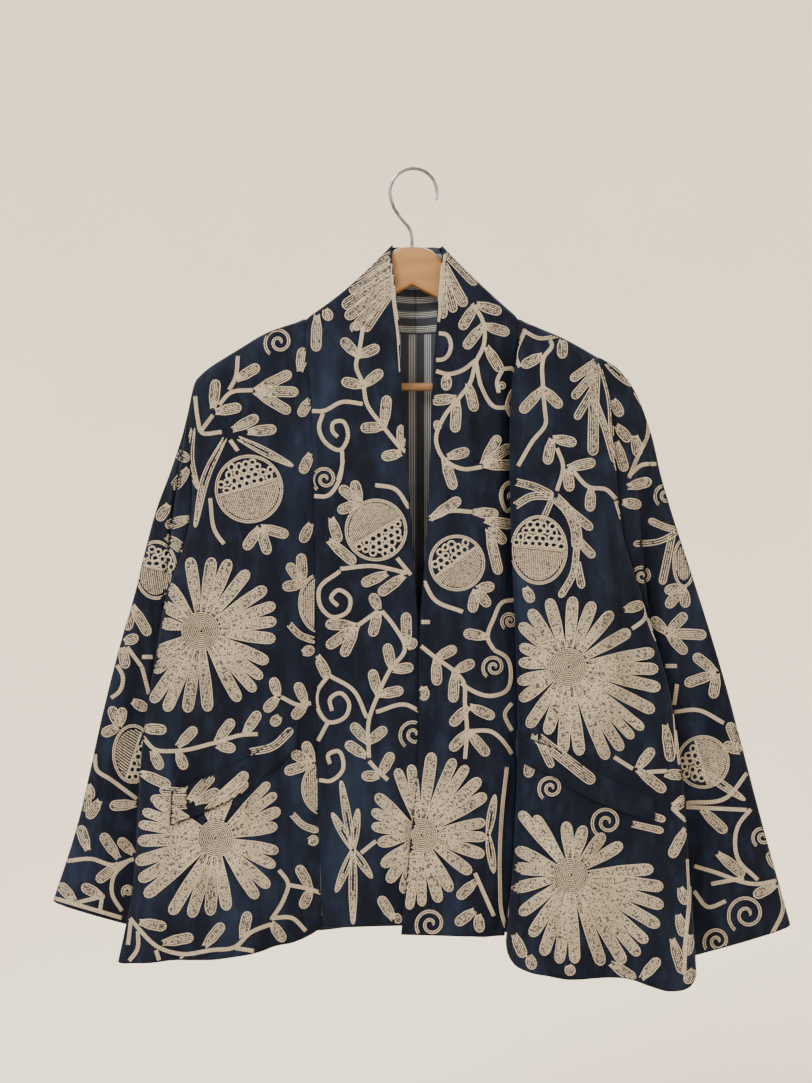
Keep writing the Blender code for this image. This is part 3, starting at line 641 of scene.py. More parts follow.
class Wire:
    # one shader socket, so that maths on it reads as an expression
    tree = None

    def __init__(self, socket):
        self.socket = socket

    @staticmethod
    def node(kind, settings=None, inputs=None, out=0):
        made = Wire.tree.nodes.new(kind)
        for name, value in (settings or {}).items():
            if name == "stops":
                ramp = made.color_ramp
                while len(ramp.elements) < len(value):
                    ramp.elements.new(0.5)
                for element, (place, colour) in zip(ramp.elements, value):
                    element.position = place
                    element.color = (*colour, 1.0)
            else:
                setattr(made, name, value)
        for name, value in (inputs or {}).items():
            if isinstance(value, Wire):
                Wire.tree.links.new(value.socket, made.inputs[name])
            else:
                made.inputs[name].default_value = value
        return Wire(made.outputs[out])

    def maths(self, operation, other=None, first=None):
        inputs = {0: self if first is None else first}
        if other is not None:
            inputs[1] = other
        return Wire.node("ShaderNodeMath", {"operation": operation}, inputs)

    def __add__(self, other):
        return self.maths("ADD", other)

    def __sub__(self, other):
        return self.maths("SUBTRACT", other)

    def __rsub__(self, other):
        return self.maths("SUBTRACT", self, other)

    def __mul__(self, other):
        return self.maths("MULTIPLY", other)

    def __truediv__(self, other):
        return self.maths("DIVIDE", other)

    __radd__ = __add__
    __rmul__ = __mul__

    def sin(self):
        return self.maths("SINE")

    def size(self):
        return self.maths("ABSOLUTE")

    def fraction(self):
        return self.maths("FRACT")

    def floor(self):
        return self.maths("FLOOR")

    def between(self, low, high):
        return Wire.node("ShaderNodeMapRange", {"interpolation_type": "SMOOTHSTEP", "clamp": True},
                         {"Value": self, "From Min": low, "From Max": high})


def noise(place, scale, detail=3.0, rough=0.5, stretch=(1.0, 1.0, 1.0)):
    if stretch != (1.0, 1.0, 1.0):
        place = Wire.node("ShaderNodeMapping", {}, {"Vector": place, "Scale": stretch})
    return Wire.node("ShaderNodeTexNoise", {}, {
        "Vector": place, "Scale": scale, "Detail": detail, "Roughness": rough})


def blendColour(share, low, high):
    low = low if isinstance(low, Wire) else (*low, 1.0)
    high = high if isinstance(high, Wire) else (*high, 1.0)
    return Wire.node("ShaderNodeMix", {"data_type": "RGBA"}, {0: share, 6: low, 7: high}, 2)


def apart(place):
    return [Wire.node("ShaderNodeSeparateXYZ", {}, {"Vector": place}, out) for out in range(3)]


def objectPlace():
    return Wire.node("ShaderNodeTexCoord", {}, {}, 3)


def uvPlace(layer):
    return Wire.node("ShaderNodeUVMap", {"uv_map": layer})


def finish(name, recipe, fixed):
    # a material whose recipe gives base colour, roughness and a height in metres
    material = bpy.data.materials.new(name)
    material.use_nodes = True
    Wire.tree = material.node_tree
    shader = Wire.tree.nodes["Principled BSDF"]
    for socket, value in fixed.items():
        shader.inputs[socket].default_value = value
    colour, roughness, height = recipe()
    bump = Wire.node("ShaderNodeBump", {}, {"Height": height, "Distance": 1.0, "Strength": 1.0})
    for socket, wire in (("Base Color", colour), ("Roughness", roughness), ("Normal", bump)):
        Wire.tree.links.new(wire.socket, shader.inputs[socket])
    return material


# deep is the velvet's own navy, lit the colour of its painted sheen
velvetLook = {
    "deep": (0.0011, 0.0019, 0.0062), "lit": (0.0078, 0.0155, 0.0380),
    "sheen": 0.13, "sheenRough": 0.26, "sheenTint": (0.28, 0.44, 0.78, 1.0)}


def velvetRecipe():
    place = objectPlace()
    brushed = noise(place, 22.0, 4.0, 0.55, (1.0, 1.0, 0.22))
    crushed = noise(place, 75.0, 3.0, 0.6, (1.0, 1.0, 0.5))
    pile = noise(place, 1100.0, 2.0, 0.6)
    # painted sheen: brushed streaks and crushed patches of the pile are lightened toward the lit
    # colour; the same pattern also sets roughness and bump
    paintedNapSheen = brushed.between(0.44, 0.74) * 0.65 + crushed.between(0.46, 0.72) * 0.35
    colour = blendColour(paintedNapSheen * 0.88 + pile * 0.12, velvetLook["deep"], velvetLook["lit"])
    height = crushed * 0.0009 + pile * 0.00030 + brushed * 0.0022
    return colour, 0.88 - paintedNapSheen * 0.2, height


# bright and dull bound the thread's colour, blended by random tone and by painted light and shade
# on the loops; deep is a painted shade colour
threadLook = {
    "bright": (0.430, 0.365, 0.272), "dull": (0.262, 0.214, 0.152), "deep": (0.040, 0.036, 0.038),
    "loopDeep": 0.00050}


def rowValue(name):
    return Wire.node("ShaderNodeAttribute", {"attribute_name": name}, {}, 2)


def threadRecipe():
    along, across = apart(uvPlace("thread"))[:2]
    side = across.size()
    wave = (along + side * 0.55).fraction()
    joint = wave.between(0.0, 0.25) * (1.0 - wave.between(0.75, 1.0))
    middle = side.between(0.04, 0.34)
    rim = 1.0 - side.between(0.60, 0.98)
    shape = joint * 0.55 + middle * 0.15 + rim * 0.30
    place = objectPlace()
    tone = noise(place, 26.0, 2.0).between(0.34, 0.68)
    hair = noise(place, 1500.0, 2.0, 0.6)
    holesAndShade = noise(place, 430.0, 1.0, 0.5).between(0.52, 0.62) * (rowValue("opening") * 0.85 + 0.12)
    # painted shade and highlight: duller in the loops' hollows, brighter on their crowns, with
    # random tone per row and noise
    share = shape * 0.62 + rowValue("shade") * 0.22 + tone * 0.12 + hair * 0.16
    colour = blendColour(share, threadLook["dull"], threadLook["bright"])
    # painted shade: darker where loops meet and along the row edges, and dark specks where the
    # ground shows between stitches, painted in the shade colour
    dark = (1.0 - (joint * 0.75 + 0.25) * (rim * 0.65 + 0.35)) * 0.62
    colour = blendColour(1.0 - (1.0 - dark) * (1.0 - holesAndShade), colour, threadLook["deep"])
    return colour, 0.90 - shape * 0.2, shape * threadLook["loopDeep"] + hair * 0.0001


stripeLook = {
    "ground": (0.020, 0.025, 0.040), "line": (0.420, 0.440, 0.470), "fineGap": 0.0019,
    "groupWidth": 0.46, "liningPeriod": 0.0169, "liningStart": 0.0006, "facingPeriod": 0.0156,
    "facingStart": 0.0576}


def stripeRecipe(layer, period, start):
    # groups of fine lines, one group a period, along the layer's or the object's x
    def recipe():
        along = apart(uvPlace(layer) if layer else objectPlace())[0]
        group = ((along - start) / period + 0.5).fraction() - 0.5
        half = stripeLook["groupWidth"] / 2
        inGroup = 1.0 - group.size().between(half - 0.02, half + 0.02)
        lines = (along / stripeLook["fineGap"]).fraction()
        line = lines.between(0.18, 0.32) * (1.0 - lines.between(0.62, 0.78))
        over, back, up = apart(objectPlace())
        weave = (over * 9000.0).sin() * (up * 9000.0).sin()
        slub = noise(objectPlace(), 240.0, 2.0, 0.5, (1.0, 1.0, 0.1))
        share = inGroup * line * (0.75 + slub * 0.3) + weave * 0.03 + 0.03
        colour = blendColour(share, stripeLook["ground"], stripeLook["line"])
        return colour, 0.9 - slub * 0.08, weave * 0.00006 + slub * 0.0002
    return recipe


woodLook = {"light": (0.255, 0.125, 0.033), "dark": (0.165, 0.072, 0.016)}


def woodRecipe():
    place = objectPlace()
    bend = noise(place, 9.0, 2.0)
    over, back, up = apart(place)
    rings = ((up * 330.0 + back * 200.0 + bend * 9.0).sin() * 0.5 + 0.5).between(0.05, 1.0)
    grain = noise(place, 240.0, 3.0, 0.6, (0.06, 1.0, 1.0))
    fleck = noise(place, 900.0, 2.0, 0.5, (0.08, 1.0, 1.0)).between(0.56, 0.70)
    share = rings * 0.35 + grain * 0.40 + fleck * 0.35
    colour = blendColour(share, woodLook["light"], woodLook["dark"])
    return colour, 0.40 + grain * 0.14, grain * 0.00008 - fleck * 0.00006


steelLook = {"bright": (0.17, 0.18, 0.20), "dull": (0.06, 0.07, 0.08)}


def steelRecipe():
    place = objectPlace()
    smear = noise(place, 90.0, 3.0)
    fine = noise(place, 1500.0, 2.0)
    colour = blendColour(smear.between(0.35, 0.70), steelLook["bright"], steelLook["dull"])
    return colour, 0.20 + smear * 0.2, fine * 0.00003


def plainRecipe(low, high):
    def recipe():
        tone = noise(objectPlace(), 3.0, 4.0)
        return blendColour(tone, low, high), 0.85 + tone * 0.05, tone * 0.0001
    return recipe


velvetFixed = {"Sheen Weight": velvetLook["sheen"], "Sheen Roughness": velvetLook["sheenRough"],
               "Sheen Tint": velvetLook["sheenTint"], "Specular IOR Level": 0.12}
velvet = finish("navyVelvet", velvetRecipe, velvetFixed)
thread = finish("creamThread", threadRecipe, {"Specular IOR Level": 0.25, "Sheen Weight": 0.15})
stripeFixed = {"Specular IOR Level": 0.2}
lining = finish("stripedLining", stripeRecipe(
    None, stripeLook["liningPeriod"], stripeLook["liningStart"]), stripeFixed)
facing = finish("stripedFacing", stripeRecipe(
    "cloth", stripeLook["facingPeriod"], stripeLook["facingStart"]), stripeFixed)
wood = finish("beechWood", woodRecipe, {"Coat Weight": 0.15, "Coat Roughness": 0.3})
steel = finish("platedSteel", steelRecipe, {"Metallic": 0.75})
print("materials made")

cameraLook = {"place": (-0.0065, -1.40, -0.401), "lens": 43.09, "sensor": 36.0}
cameraData = bpy.data.cameras.new("photoCamera")
cameraData.sensor_width = cameraLook["sensor"]
cameraData.lens = cameraLook["lens"]
camera = newObject("photoCamera", cameraData)
camera.location = cameraLook["place"]
camera.rotation_euler = (math.pi / 2, 0.0, 0.0)
bpy.context.scene.camera = camera

# soft light: name, place, size and watts of each lamp; all look at the middle of the coat
lightLook = {
    "lamps": [
        ("keyLight", (-1.4, -1.7, 1.5), 1.0, 125.0), ("fillLight", (1.9, -1.6, 0.3), 1.6, 26.0),
        ("backLight", (0.4, 2.2, 1.2), 1.8, 62.0)],
    "lampColour": (1.0, 0.97, 0.92), "middle": (0.0, 0.0, -0.45),
    "sky": (1.0, 0.955, 0.87, 1.0), "skyStrength": 1.25}
for name, place, size, watts in lightLook["lamps"]:
    lamp = bpy.data.lights.new(name, "AREA")
    lamp.size = size
    lamp.energy = watts
    lamp.color = lightLook["lampColour"]
    light = newObject(name, lamp)
    light.location = place
    aim = Vector(lightLook["middle"]) - light.location
    light.rotation_euler = aim.to_track_quat("-Z", "Y").to_euler()
world = bpy.data.worlds.new("studio")
world.use_nodes = True
sky = world.node_tree.nodes["Background"].inputs
sky["Color"].default_value = lightLook["sky"]
sky["Strength"].default_value = lightLook["skyStrength"]
bpy.context.scene.world = world
print("camera and lights set")

bodyRows = range(armholeSteps + bodyStepsBelow + 1)
soft = {"thick": velvetThick, "roll": 0.7, "seamFade": 16.0, "seamDip": 0.9, "seamWidth": 2.6,
        "ripple": 0.9, "rippleLength": 13.0, "driftLength": 31.0, "drift": 1.7,
        "rippleReach": 60.0, "rippleStart": 20.0, "creaseGain": 1.45}
frontLook = {
    "right": dict(soft, steps=(9, 5), free=("foot",), seams=("first", "top", "last"), creases=[
        (-225, 292, -186, 430, 10, 2.2), (-236, 448, -168, 552, 12, -2.6),
        (-240, 462, -204, 610, 9, 2.0), (-150, 206, -166, 336, 13, 1.6),
        (-252, 520, -264, 706, 10, -2.0), (-184, 632, -176, 880, 13, 2.4),
        (-130, 540, -120, 880, 9, -2.6), (-216, 704, -224, 890, 11, 2.4),
        (-150, 716, -140, 880, 8, 1.8), (-276, 690, -268, 900, 10, -2.2),
        (-205, 212, -220, 296, 8, -1.6), (-196, 330, -214, 470, 9, -1.7),
        (-122, 250, -128, 420, 8, 1.4), (-168, 470, -150, 640, 15, 1.6),
        (-236, 590, -206, 730, 9, 1.8), (-250, 760, -244, 890, 8, 1.6)]),
    "left": dict(soft, steps=(9, 5), free=("foot",), seams=("first", "top", "last"), creases=[
        (222, 296, 188, 430, 10, 2.2), (248, 456, 196, 566, 12, -2.8),
        (262, 490, 232, 650, 10, 2.2), (160, 200, 172, 336, 12, -1.7),
        (140, 420, 136, 606, 9, 2.0), (156, 630, 162, 890, 10, -2.4),
        (188, 650, 196, 890, 12, 2.6), (230, 690, 240, 890, 9, -2.2),
        (260, 712, 272, 890, 10, 2.4), (130, 680, 126, 890, 7, 1.8),
        (276, 610, 260, 746, 9, -1.8), (200, 214, 212, 300, 8, -1.6),
        (190, 420, 176, 590, 15, 1.8), (214, 380, 226, 470, 8, 1.6),
        (146, 250, 150, 400, 8, 1.6), (208, 590, 222, 700, 9, 1.5)])}
backLook = dict(soft, steps=(6, 3), free=("foot",), seams=("first", "top", "last"), creases=[
    (-196, 260, -214, 430, 12, 1.8), (-150, 230, -120, 480, 16, 1.6),
    (-90, 260, -104, 520, 14, -0.6), (-230, 470, -190, 640, 11, 2.0),
    (-210, 620, -226, 880, 12, 2.2), (-160, 560, -150, 880, 15, 1.9),
    (-112, 640, -96, 880, 12, -0.6), (-40, 420, -52, 700, 17, 1.7), (-10, 640, -4, 880, 13, 1.9),
    (30, 300, 44, 560, 16, 1.6), (62, 600, 56, 880, 14, 1.8), (104, 250, 118, 500, 15, 1.5),
    (140, 540, 132, 880, 16, 2.0), (186, 300, 206, 470, 11, 1.8), (232, 470, 196, 640, 12, 2.1),
    (212, 640, 224, 880, 11, 2.0), (250, 600, 262, 880, 9, -1.0)])
bandLook = {
    "right": dict(soft, steps=(7, 6), free=("top", "last"), seams=("first", "foot"), ripple=0.0,
                  creases=[
        (-64, 292, -74, 436, 13, 1.2), (-42, 470, -54, 650, 11, -0.9),
        (-82, 620, -70, 830, 11, 1.4), (-22, 650, -30, 830, 9, 0.9), (-60, 140, -84, 250, 10, 1.1),
        (-30, 330, -34, 480, 9, 0.9)]),
    "left": dict(soft, steps=(7, 6), free=("top", "last"), seams=("first", "foot"), ripple=0.0,
                 creases=[
        (105, 176, 97, 452, 9, -5.0), (88, 210, 83, 470, 9, 3.2), (60, 312, 70, 466, 11, 0.9),
        (44, 500, 60, 650, 10, -0.9), (82, 560, 78, 720, 8, 1.3), (28, 660, 40, 840, 9, 0.9),
        (70, 700, 64, 840, 10, 1.3), (62, 150, 86, 250, 10, 1.1)])}
sleeveCreases = [
    (30, 90, 110, 240, 15, 2.6), (265, 100, 180, 250, 15, -2.4), (70, 240, 140, 400, 16, 2.4),
    (240, 210, 205, 410, 17, 2.6), (130, 330, 106, 560, 15, -2.2), (46, 330, 58, 590, 13, 1.9),
    (228, 390, 250, 600, 15, 2.2), (180, 440, 168, 600, 14, 1.8), (285, 270, 262, 420, 12, -1.8),
    (340, 120, 420, 260, 16, 2.4), (560, 110, 480, 260, 16, -2.0), (390, 250, 450, 420, 17, 2.4),
    (530, 240, 500, 430, 16, 2.4), (440, 380, 420, 600, 15, -2.0), (560, 360, 545, 600, 13, 1.9)]
sleeveLook = dict(soft, steps=(7, 4), free=("foot",), seams=("top",), around=600.0, long=560.0,
                  ripple=0.0, creases=sleeveCreases)

skins = {}
cloth = {}
cadGrids = {}

for side in sides:
    points = np.array([[frontPoint(side, across, rowShare(side, row))
                        for across in frontAcross] for row in bodyRows])
    points[:, 0, 0] += sideSign[side] * seamShift
    normals = gridNormals(points, False, -sideSign[side])
    normals = levelNormals(normals, 0, whole, 1)
    normals = levelNormals(normals, whole, -1, 1)
    cadGrids[side + "Front"] = (points, normals)
    outer, ways, mesh = panelMesh(side + "FrontCloth", points, normals, frontLook[side],
                                  sign=-sideSign[side])
    skins[side + "Front"] = (outer, ways)
    cloth[side + "Front"] = addPiece(side + "FrontCloth", mesh, velvet)
print("fronts made")

backColumns = [("right", across) for across in backAcross]
backColumns += [("neck", index) for index in range(len(neckSeam))]
backColumns += [("left", across) for across in reversed(backAcross)]


def backGrid(columns, downAt):
    lines = []
    for row in bodyRows:
        line = []
        for column in columns:
            place, value = backColumns[column]
            half = (len(backColumns) - 1) / 2
            near = place if place != "neck" else "right" if value < 6 else "left"
            down = downAt(row, near, abs(column - half))
            line.append(backNeckPoint(value, down) if place == "neck"
                        else backPoint(place, value, down))
        lines.append(line)
    return np.array(lines)


points = backGrid(range(len(backColumns)), lambda row, near, out: rowShare(near, row))
neckFirst = len(backAcross)
neckLast = neckFirst + len(neckSeam) - 1
trimmed = clearEdge(points, 0, 0, seamGap / 2)
points[0, neckFirst:neckLast + 1] = trimmed[0, neckFirst:neckLast + 1]
normals = gridNormals(points, False, 1.0)
normals = levelNormals(normals, 0, slice(neckFirst + 1), 1)
normals = levelNormals(normals, 0, slice(neckLast, None), 1)
normals = levelNormals(normals, 0, slice(neckFirst + 1, neckLast), 2)
normals = levelNormals(normals, whole, [0, -1], 1)
outer, ways, mesh = panelMesh("backCloth", points, normals, backLook)
skins["back"] = (outer, ways)
cloth["back"] = addPiece("backCloth", mesh, velvet)
print("back made")

for side in sides:
    lines = [[bandFrontPoint(side, across, rowShare(side, row)) for across in bandAcross]
             for row in reversed(bodyRows)]
    lines += [[bandBackPoint(side, across, index) for across in bandAcross]
              for index in range(1, len(collarTop[side]))]
    shoulder = len(bodyRows) - 1
    points = clearEdge(np.array(lines), 1, 0, seamGap / 2)
    points[:shoulder + 1, 0] = [line[0] for line in lines[:shoulder + 1]]
    points[:shoulder + 1, 0, 0] -= sideSign[side] * seamShift
    points = clearEdge(points, 0, -1, seamGap / 2)
    normals = gridNormals(points, False, -sideSign[side])
    normals = levelNormals(normals, shoulder, whole, 1)
    normals = levelNormals(normals, slice(shoulder + 1, None), 0, 2)
    normals = levelNormals(normals, -1, whole, 0)
    cadGrids[side + "Band"] = (points, normals)
    outer, ways, mesh = panelMesh(side + "BandCloth", points, normals, bandLook[side],
                                  sign=-sideSign[side])
    skins[side + "Band"] = (outer, ways)
    cloth[side + "Band"] = addPiece(side + "BandCloth", mesh, velvet)
print("bands made")

facingLook = dict(soft, thick=liningThick, steps=(6, 5), free=(), seams=(), ripple=0.0,
                  creases=[])
for side in sides:
    points, normals = cadGrids[side + "Band"]
    first = len(bodyRows) + 1
    inside = points[first:] - normals[first:] * (velvetThick + seamGap)
    mesh = panelMesh(side + "NeckFacing", inside[:, ::-1], normals[first:, ::-1],
                     facingLook, sign=sideSign[side])[2]
    cloth[side + "NeckFacing"] = addPiece(side + "NeckFacingCloth", mesh, facing)

liningLook = dict(backLook, thick=liningThick, steps=(6, 4), seams=("top",), ripple=0.5)


def liningDown(row, near, out):
    if row < 3:
        start = liningTopDrop + liningTopSlope * ease((out - 3.0) / 3.0)
        return start + (rowShare(near, 3) - start) * liningTopSteps[row]
    return liningHemShare if row == bodyRows[-1] else rowShare(near, row)


inside = backGrid(range(4, len(backColumns) - 4), liningDown)
normals = gridNormals(inside, False, 1.0)
inside -= normals * (velvetThick + liningClear)
mesh = panelMesh("liningCloth", inside, normals, liningLook)[2]
cloth["lining"] = addPiece("liningCloth", mesh, lining)
print("lining made")

sleeveShares = [0.0, 0.03, 0.06, 0.12, 0.2, 0.28, 0.36, 0.44, 0.52, 0.6, 0.68, 0.76, 0.84,
                0.92, 1.0]
for side in sides:
    points = np.array([[sleevePoint(side, step, share) for step in range(2 * armholeSteps)]
                       for share in sleeveShares])
    normals = gridNormals(points, True, sideSign[side])
    normals = levelNormals(normals, 0, whole, 0)
    outer, ways, mesh = panelMesh(side + "SleeveCloth", points, normals, sleeveLook, True,
                                  sideSign[side])
    skins[side + "Sleeve"] = (outer, ways)
    cloth[side + "Sleeve"] = addPiece(side + "SleeveCloth", mesh, velvet)
print("sleeves made")


weltLook = {
    "stations": 34, "rows": 9, "clear": 1.3, "thick": weltThick, "crown": 0.7, "roll": 0.6}
for side in sides:
    outer, ways = skins[side + "Front"]
    points, normals = cadGrids[side + "Front"]
    welt = pocketWelt[side]
    flatAcross = np.interp(np.linspace(0, len(frontAcross) - 1, outer.shape[1]),
                           range(len(frontAcross)), frontAcross)
    under, lift = [], []
    for across in np.linspace(welt[0][0], welt[-1][0], weltLook["stations"]):
        column = np.interp(across, flatAcross, range(len(flatAcross)))
        left = int(column)
        over = column - left
        line = outer[:, left] * (1 - over) + outer[:, left + 1] * over
        way = ways[:, left] * (1 - over) + ways[:, left + 1] * over
        upper, lower = lookUp(welt, across)
        shares = np.linspace(0.0, 1.0, weltLook["rows"])
        drops = upper + (lower - upper) * shares
        rows = np.interp(drops, -line[:, 2], range(len(line)))
        low = rows.astype(int)
        part = (rows - low)[:, None]
        under.append(line[low] * (1 - part) + line[low + 1] * part)
        lift.append(way[low] * (1 - part) + way[low + 1] * part)
    lift = unit(np.array(lift))
    under = np.array(under) + lift * weltLook["clear"]
    crown = np.sin(math.pi * np.linspace(0, 1, weltLook["rows"]))[None, :, None]
    outer = under + lift * (weltLook["thick"] + weltLook["crown"] * crown)
    mesh = shellMesh(side + "WeltCloth", outer, under, False,
                     ("top", "foot", "first", "last"), weltLook["roll"])
    skins[side + "Welt"] = (outer, lift)
    cloth[side + "Welt"] = addPiece(side + "WeltCloth", mesh, velvet)
print("welts made")


# Chain-stitch ornament, placed on the picture plane: x and y of its 812 by 1083 frame
stitchLook = {
    "pitch": 2.0, "step": 2.7, "stitch": 3.1, "rowWidth": 0.00118, "rowHeight": 0.00078,
    "leafWidth": 11.5, "bladeWidth": 9.5, "stemWidth": 4.7, "discPitch": 1.95, "ringPitch": 7.4,
    "ringRadius": 3.2, "ringSize": 1.6, "ringJitter": 0.9, "ringClear": 5.6, "fillPitch": 1.85,
    "leastCoil": 0.8, "fingerLeast": 11.5, "fingerMost": 17.0, "leastFacing": 0.22,
    "deepestStep": 0.006, "endLength": 0.0009, "endSize": 0.5, "seed": 7}
# the picture plane in metres from the camera; from behind, the rows are cast straight back
pictureLook = {
    "middleX": 406, "middleY": 541.5, "pixel": 0.00108, "distance": 1.4, "behind": 0.6,
    "behindScale": 1.01}


def pairs(numbers):
    return np.array(numbers, float).reshape(-1, 2)


def evenPath(points, step):
    fine = smoothAlong(points, 12) if len(points) > 2 else points
    runs = np.concatenate([[0.0], np.cumsum(np.linalg.norm(np.diff(fine, axis=0), axis=1))])
    count = max(int(round(runs[-1] / step)) + 1, 4)
    at = np.linspace(0.0, runs[-1], count)
    return np.stack([np.interp(at, runs, fine[:, axis]) for axis in (0, 1)], axis=1), runs[-1]


def ribbonRows(points, width, kind):
    # rows of stitches along a path: a stem has three, and any other kind is outlined and filled;
    # a row is its points, how far the gaps between its stitches show as dark specks of ground in
    # painted shade, and its size
    path, length = evenPath(pairs(points), stitchLook["step"])
    across = np.gradient(path, axis=0)
    across = unit(np.stack([-across[:, 1], across[:, 0]], axis=1))
    share = np.linspace(0.0, 1.0, len(path))
    pitch = stitchLook["pitch"]
    if kind == "stem":
        return [(path + across * place * (width - pitch) / 2, 0.1, 1.0) for place in (-1, 0, 1)]

    def profile(at):
        if kind == "leaf":
            return 0.50 + 0.50 * easeAll(at / 0.45)
        if kind == "blade":
            return 0.26 + 0.74 * np.sin(math.pi * np.clip(at * 0.86 + 0.08, 0, 1))
        if kind == "bar":
            return 0.88 + 0.12 * at
        return (0.34 + 0.66 * at) * (1.05 - 0.27 * easeAll((at - 0.44) / 0.5))

    def sideLine(at, offset):
        middle = np.stack([np.interp(at, share, path[:, axis]) for axis in (0, 1)], axis=1)
        way = np.stack([np.interp(at, share, across[:, axis]) for axis in (0, 1)], axis=1)
        return middle + way * offset[:, None]

    cap = min(width * 0.5 / length, 0.42)
    turn = np.linspace(0.0, math.pi / 2, 4)
    at = np.linspace(0.0, 1.0 - cap, len(path))[:-1]
    at = np.concatenate([at, 1.0 - cap + cap * np.sin(turn)])
    rounding = np.sqrt(np.maximum(1.0 - (np.maximum(at - 1.0 + cap, 0.0) / cap) ** 2, 0.0))
    half = (width - pitch) / 2 * profile(at) * rounding
    rim = np.concatenate([sideLine(at, half), sideLine(at[-2::-1], -half[-2::-1])])
    rows = [(rim, 0.0, 1.0)]
    count = int((width - 1.6 * pitch) / pitch)
    for row in range(count):
        place = (row - (count - 1) / 2) / max(count / 2, 0.5)
        last = 1.0 - cap * (1.08 - math.sqrt(max(0.0, 1.0 - place * place)))
        last = max(last, 0.3)
        first = 0.03
        if row % 2:
            crowded = profile(share) * pitch < 0.95
            first = min(share[crowded].max(), 0.55) if crowded.any() else 0.03
        at = np.linspace(first, last, max(int((last - first) * len(path)) + 1, 3))
        offset = place * (width / 2 - 1.1 * pitch) * profile(at)
        rows.append((sideLine(at, offset), 1.0, 1.0))
    return rows


def coilRows(centreX, centreY, radius, pitch, turns=None, start=0.0):
    turns = turns or radius / pitch
    count = max(int(turns * 9 + radius * turns * 0.9), 12)
    angles = np.linspace(0.0, 2 * math.pi * turns, count)
    radii = radius - pitch * angles / (2 * math.pi)
    keep = radii > stitchLook["leastCoil"]
    angles, radii = angles[keep] + start, radii[keep]
    line = np.stack([centreX + radii * np.cos(angles), centreY + radii * np.sin(angles)], axis=1)
    return [(line, 0.35, 1.0)]


def curlRows(centreX, centreY, radius):
    rows = coilRows(centreX, centreY, radius, radius / 2.0, 1.75, 2.2)
    rows += coilRows(centreX, centreY, radius - stitchLook["pitch"], radius / 2.0, 1.6, 2.2)
    return rows


def flowerRows(numbers):
    centre, radius, tips = np.array(numbers[:2], float), numbers[2], pairs(numbers[3:])
    rows = coilRows(*centre, radius, stitchLook["discPitch"])
    for index, tip in enumerate(tips):
        others = np.delete(tips, index, axis=0)
        gap = np.linalg.norm(others - tip, axis=1).min()
        width = min(max(gap, stitchLook["fingerLeast"]), stitchLook["fingerMost"])
        base = centre + unit(tip - centre) * (radius - 1.5)
        rows += ribbonRows([*base, *tip], width, "finger")
    return rows


def fanRows(numbers):
    base, rows = numbers[:2], []
    for tip in pairs(numbers[2:]):
        rows += ribbonRows([*base, *tip], stitchLook["leafWidth"], "leaf")
    return rows


def fruitRows(centreX, centreY, wide, tall, crownX, crownY, seeded=True):
    # one half filled with rows toward the crown, the other a net of little rings; without seeds
    # the whole is filled
    centre, size = np.array((centreX, centreY)), np.array((wide, tall))
    up = unit(centre - np.array((crownX, crownY), float))
    over = np.array((-up[1], up[0]))
    turn = np.linspace(0.0, 2 * math.pi, int(2 * math.pi * max(wide, tall) / 3.0) + 1)
    ring = np.stack([np.cos(turn), np.sin(turn)], axis=1)
    rows = [(centre + ring * (size - 0.9 - 1.8 * line), 0.1, 1.0) for line in range(2)]
    reach = 1.0 - 3.6 / min(wide, tall)
    count = int(2 * min(wide, tall) * reach / stitchLook["fillPitch"])
    for row in range(count):
        side = ((row + 0.5) / count * 2 - 1) * reach
        depth = math.sqrt(reach ** 2 - side ** 2)
        along = np.linspace(0.0 if seeded else depth, -depth, 8)
        out = side * (1.0 - 0.14 * np.maximum(-along, 0.0) ** 2)
        rows.append((centre + (out[:, None] * over + along[:, None] * up) * size, 0.6, 1.0))
    if not seeded:
        return rows
    chord = np.linspace(-1.0, 1.0, 16)[:, None] * reach
    rows += [(centre + (chord * over + line * up) * size, 0.1, 1.0) for line in (0.03, 0.08)]
    spread = np.random.default_rng(int(centreX))
    pitch = stitchLook["ringPitch"]
    small = np.linspace(0.0, 2 * math.pi, 9)
    small = np.stack([np.cos(small), np.sin(small)], axis=1) * stitchLook["ringRadius"]
    for line in range(int(2 * max(wide, tall) / (pitch * 0.87)) + 1):
        for place in range(int(2 * max(wide, tall) / pitch) + 1):
            spot = np.array((place - 4 + 0.5 * (line % 2), (line + 0.9) * 0.87)) * pitch
            spot = spot[0] * over + spot[1] * up
            if np.linalg.norm(spot / (size - stitchLook["ringClear"])) < 1.0:
                spot = spot + spread.uniform(-1.0, 1.0, 2) * stitchLook["ringJitter"]
                swell = small * spread.uniform(0.88, 1.14, (1, 2))
                rows.append((centre + spot + swell, 0.0, stitchLook["ringSize"]))
    return rows


motifMakers = {
    "stem": lambda numbers: ribbonRows(numbers, stitchLook["stemWidth"], "stem"),
    "leaf": lambda numbers: ribbonRows(numbers, stitchLook["leafWidth"], "leaf"),
    "blade": lambda numbers: ribbonRows(numbers, stitchLook["bladeWidth"], "blade"),
    "petal": lambda numbers: ribbonRows(numbers[:-1], numbers[-1], "finger"),
    "bar": lambda numbers: ribbonRows(numbers[:-1], numbers[-1], "bar"),
    "bulb": lambda numbers: fruitRows(*numbers, False),
    "fan": fanRows, "flower": flowerRows,
    "fruit": lambda numbers: fruitRows(*numbers), "curl": lambda numbers: curlRows(*numbers)}

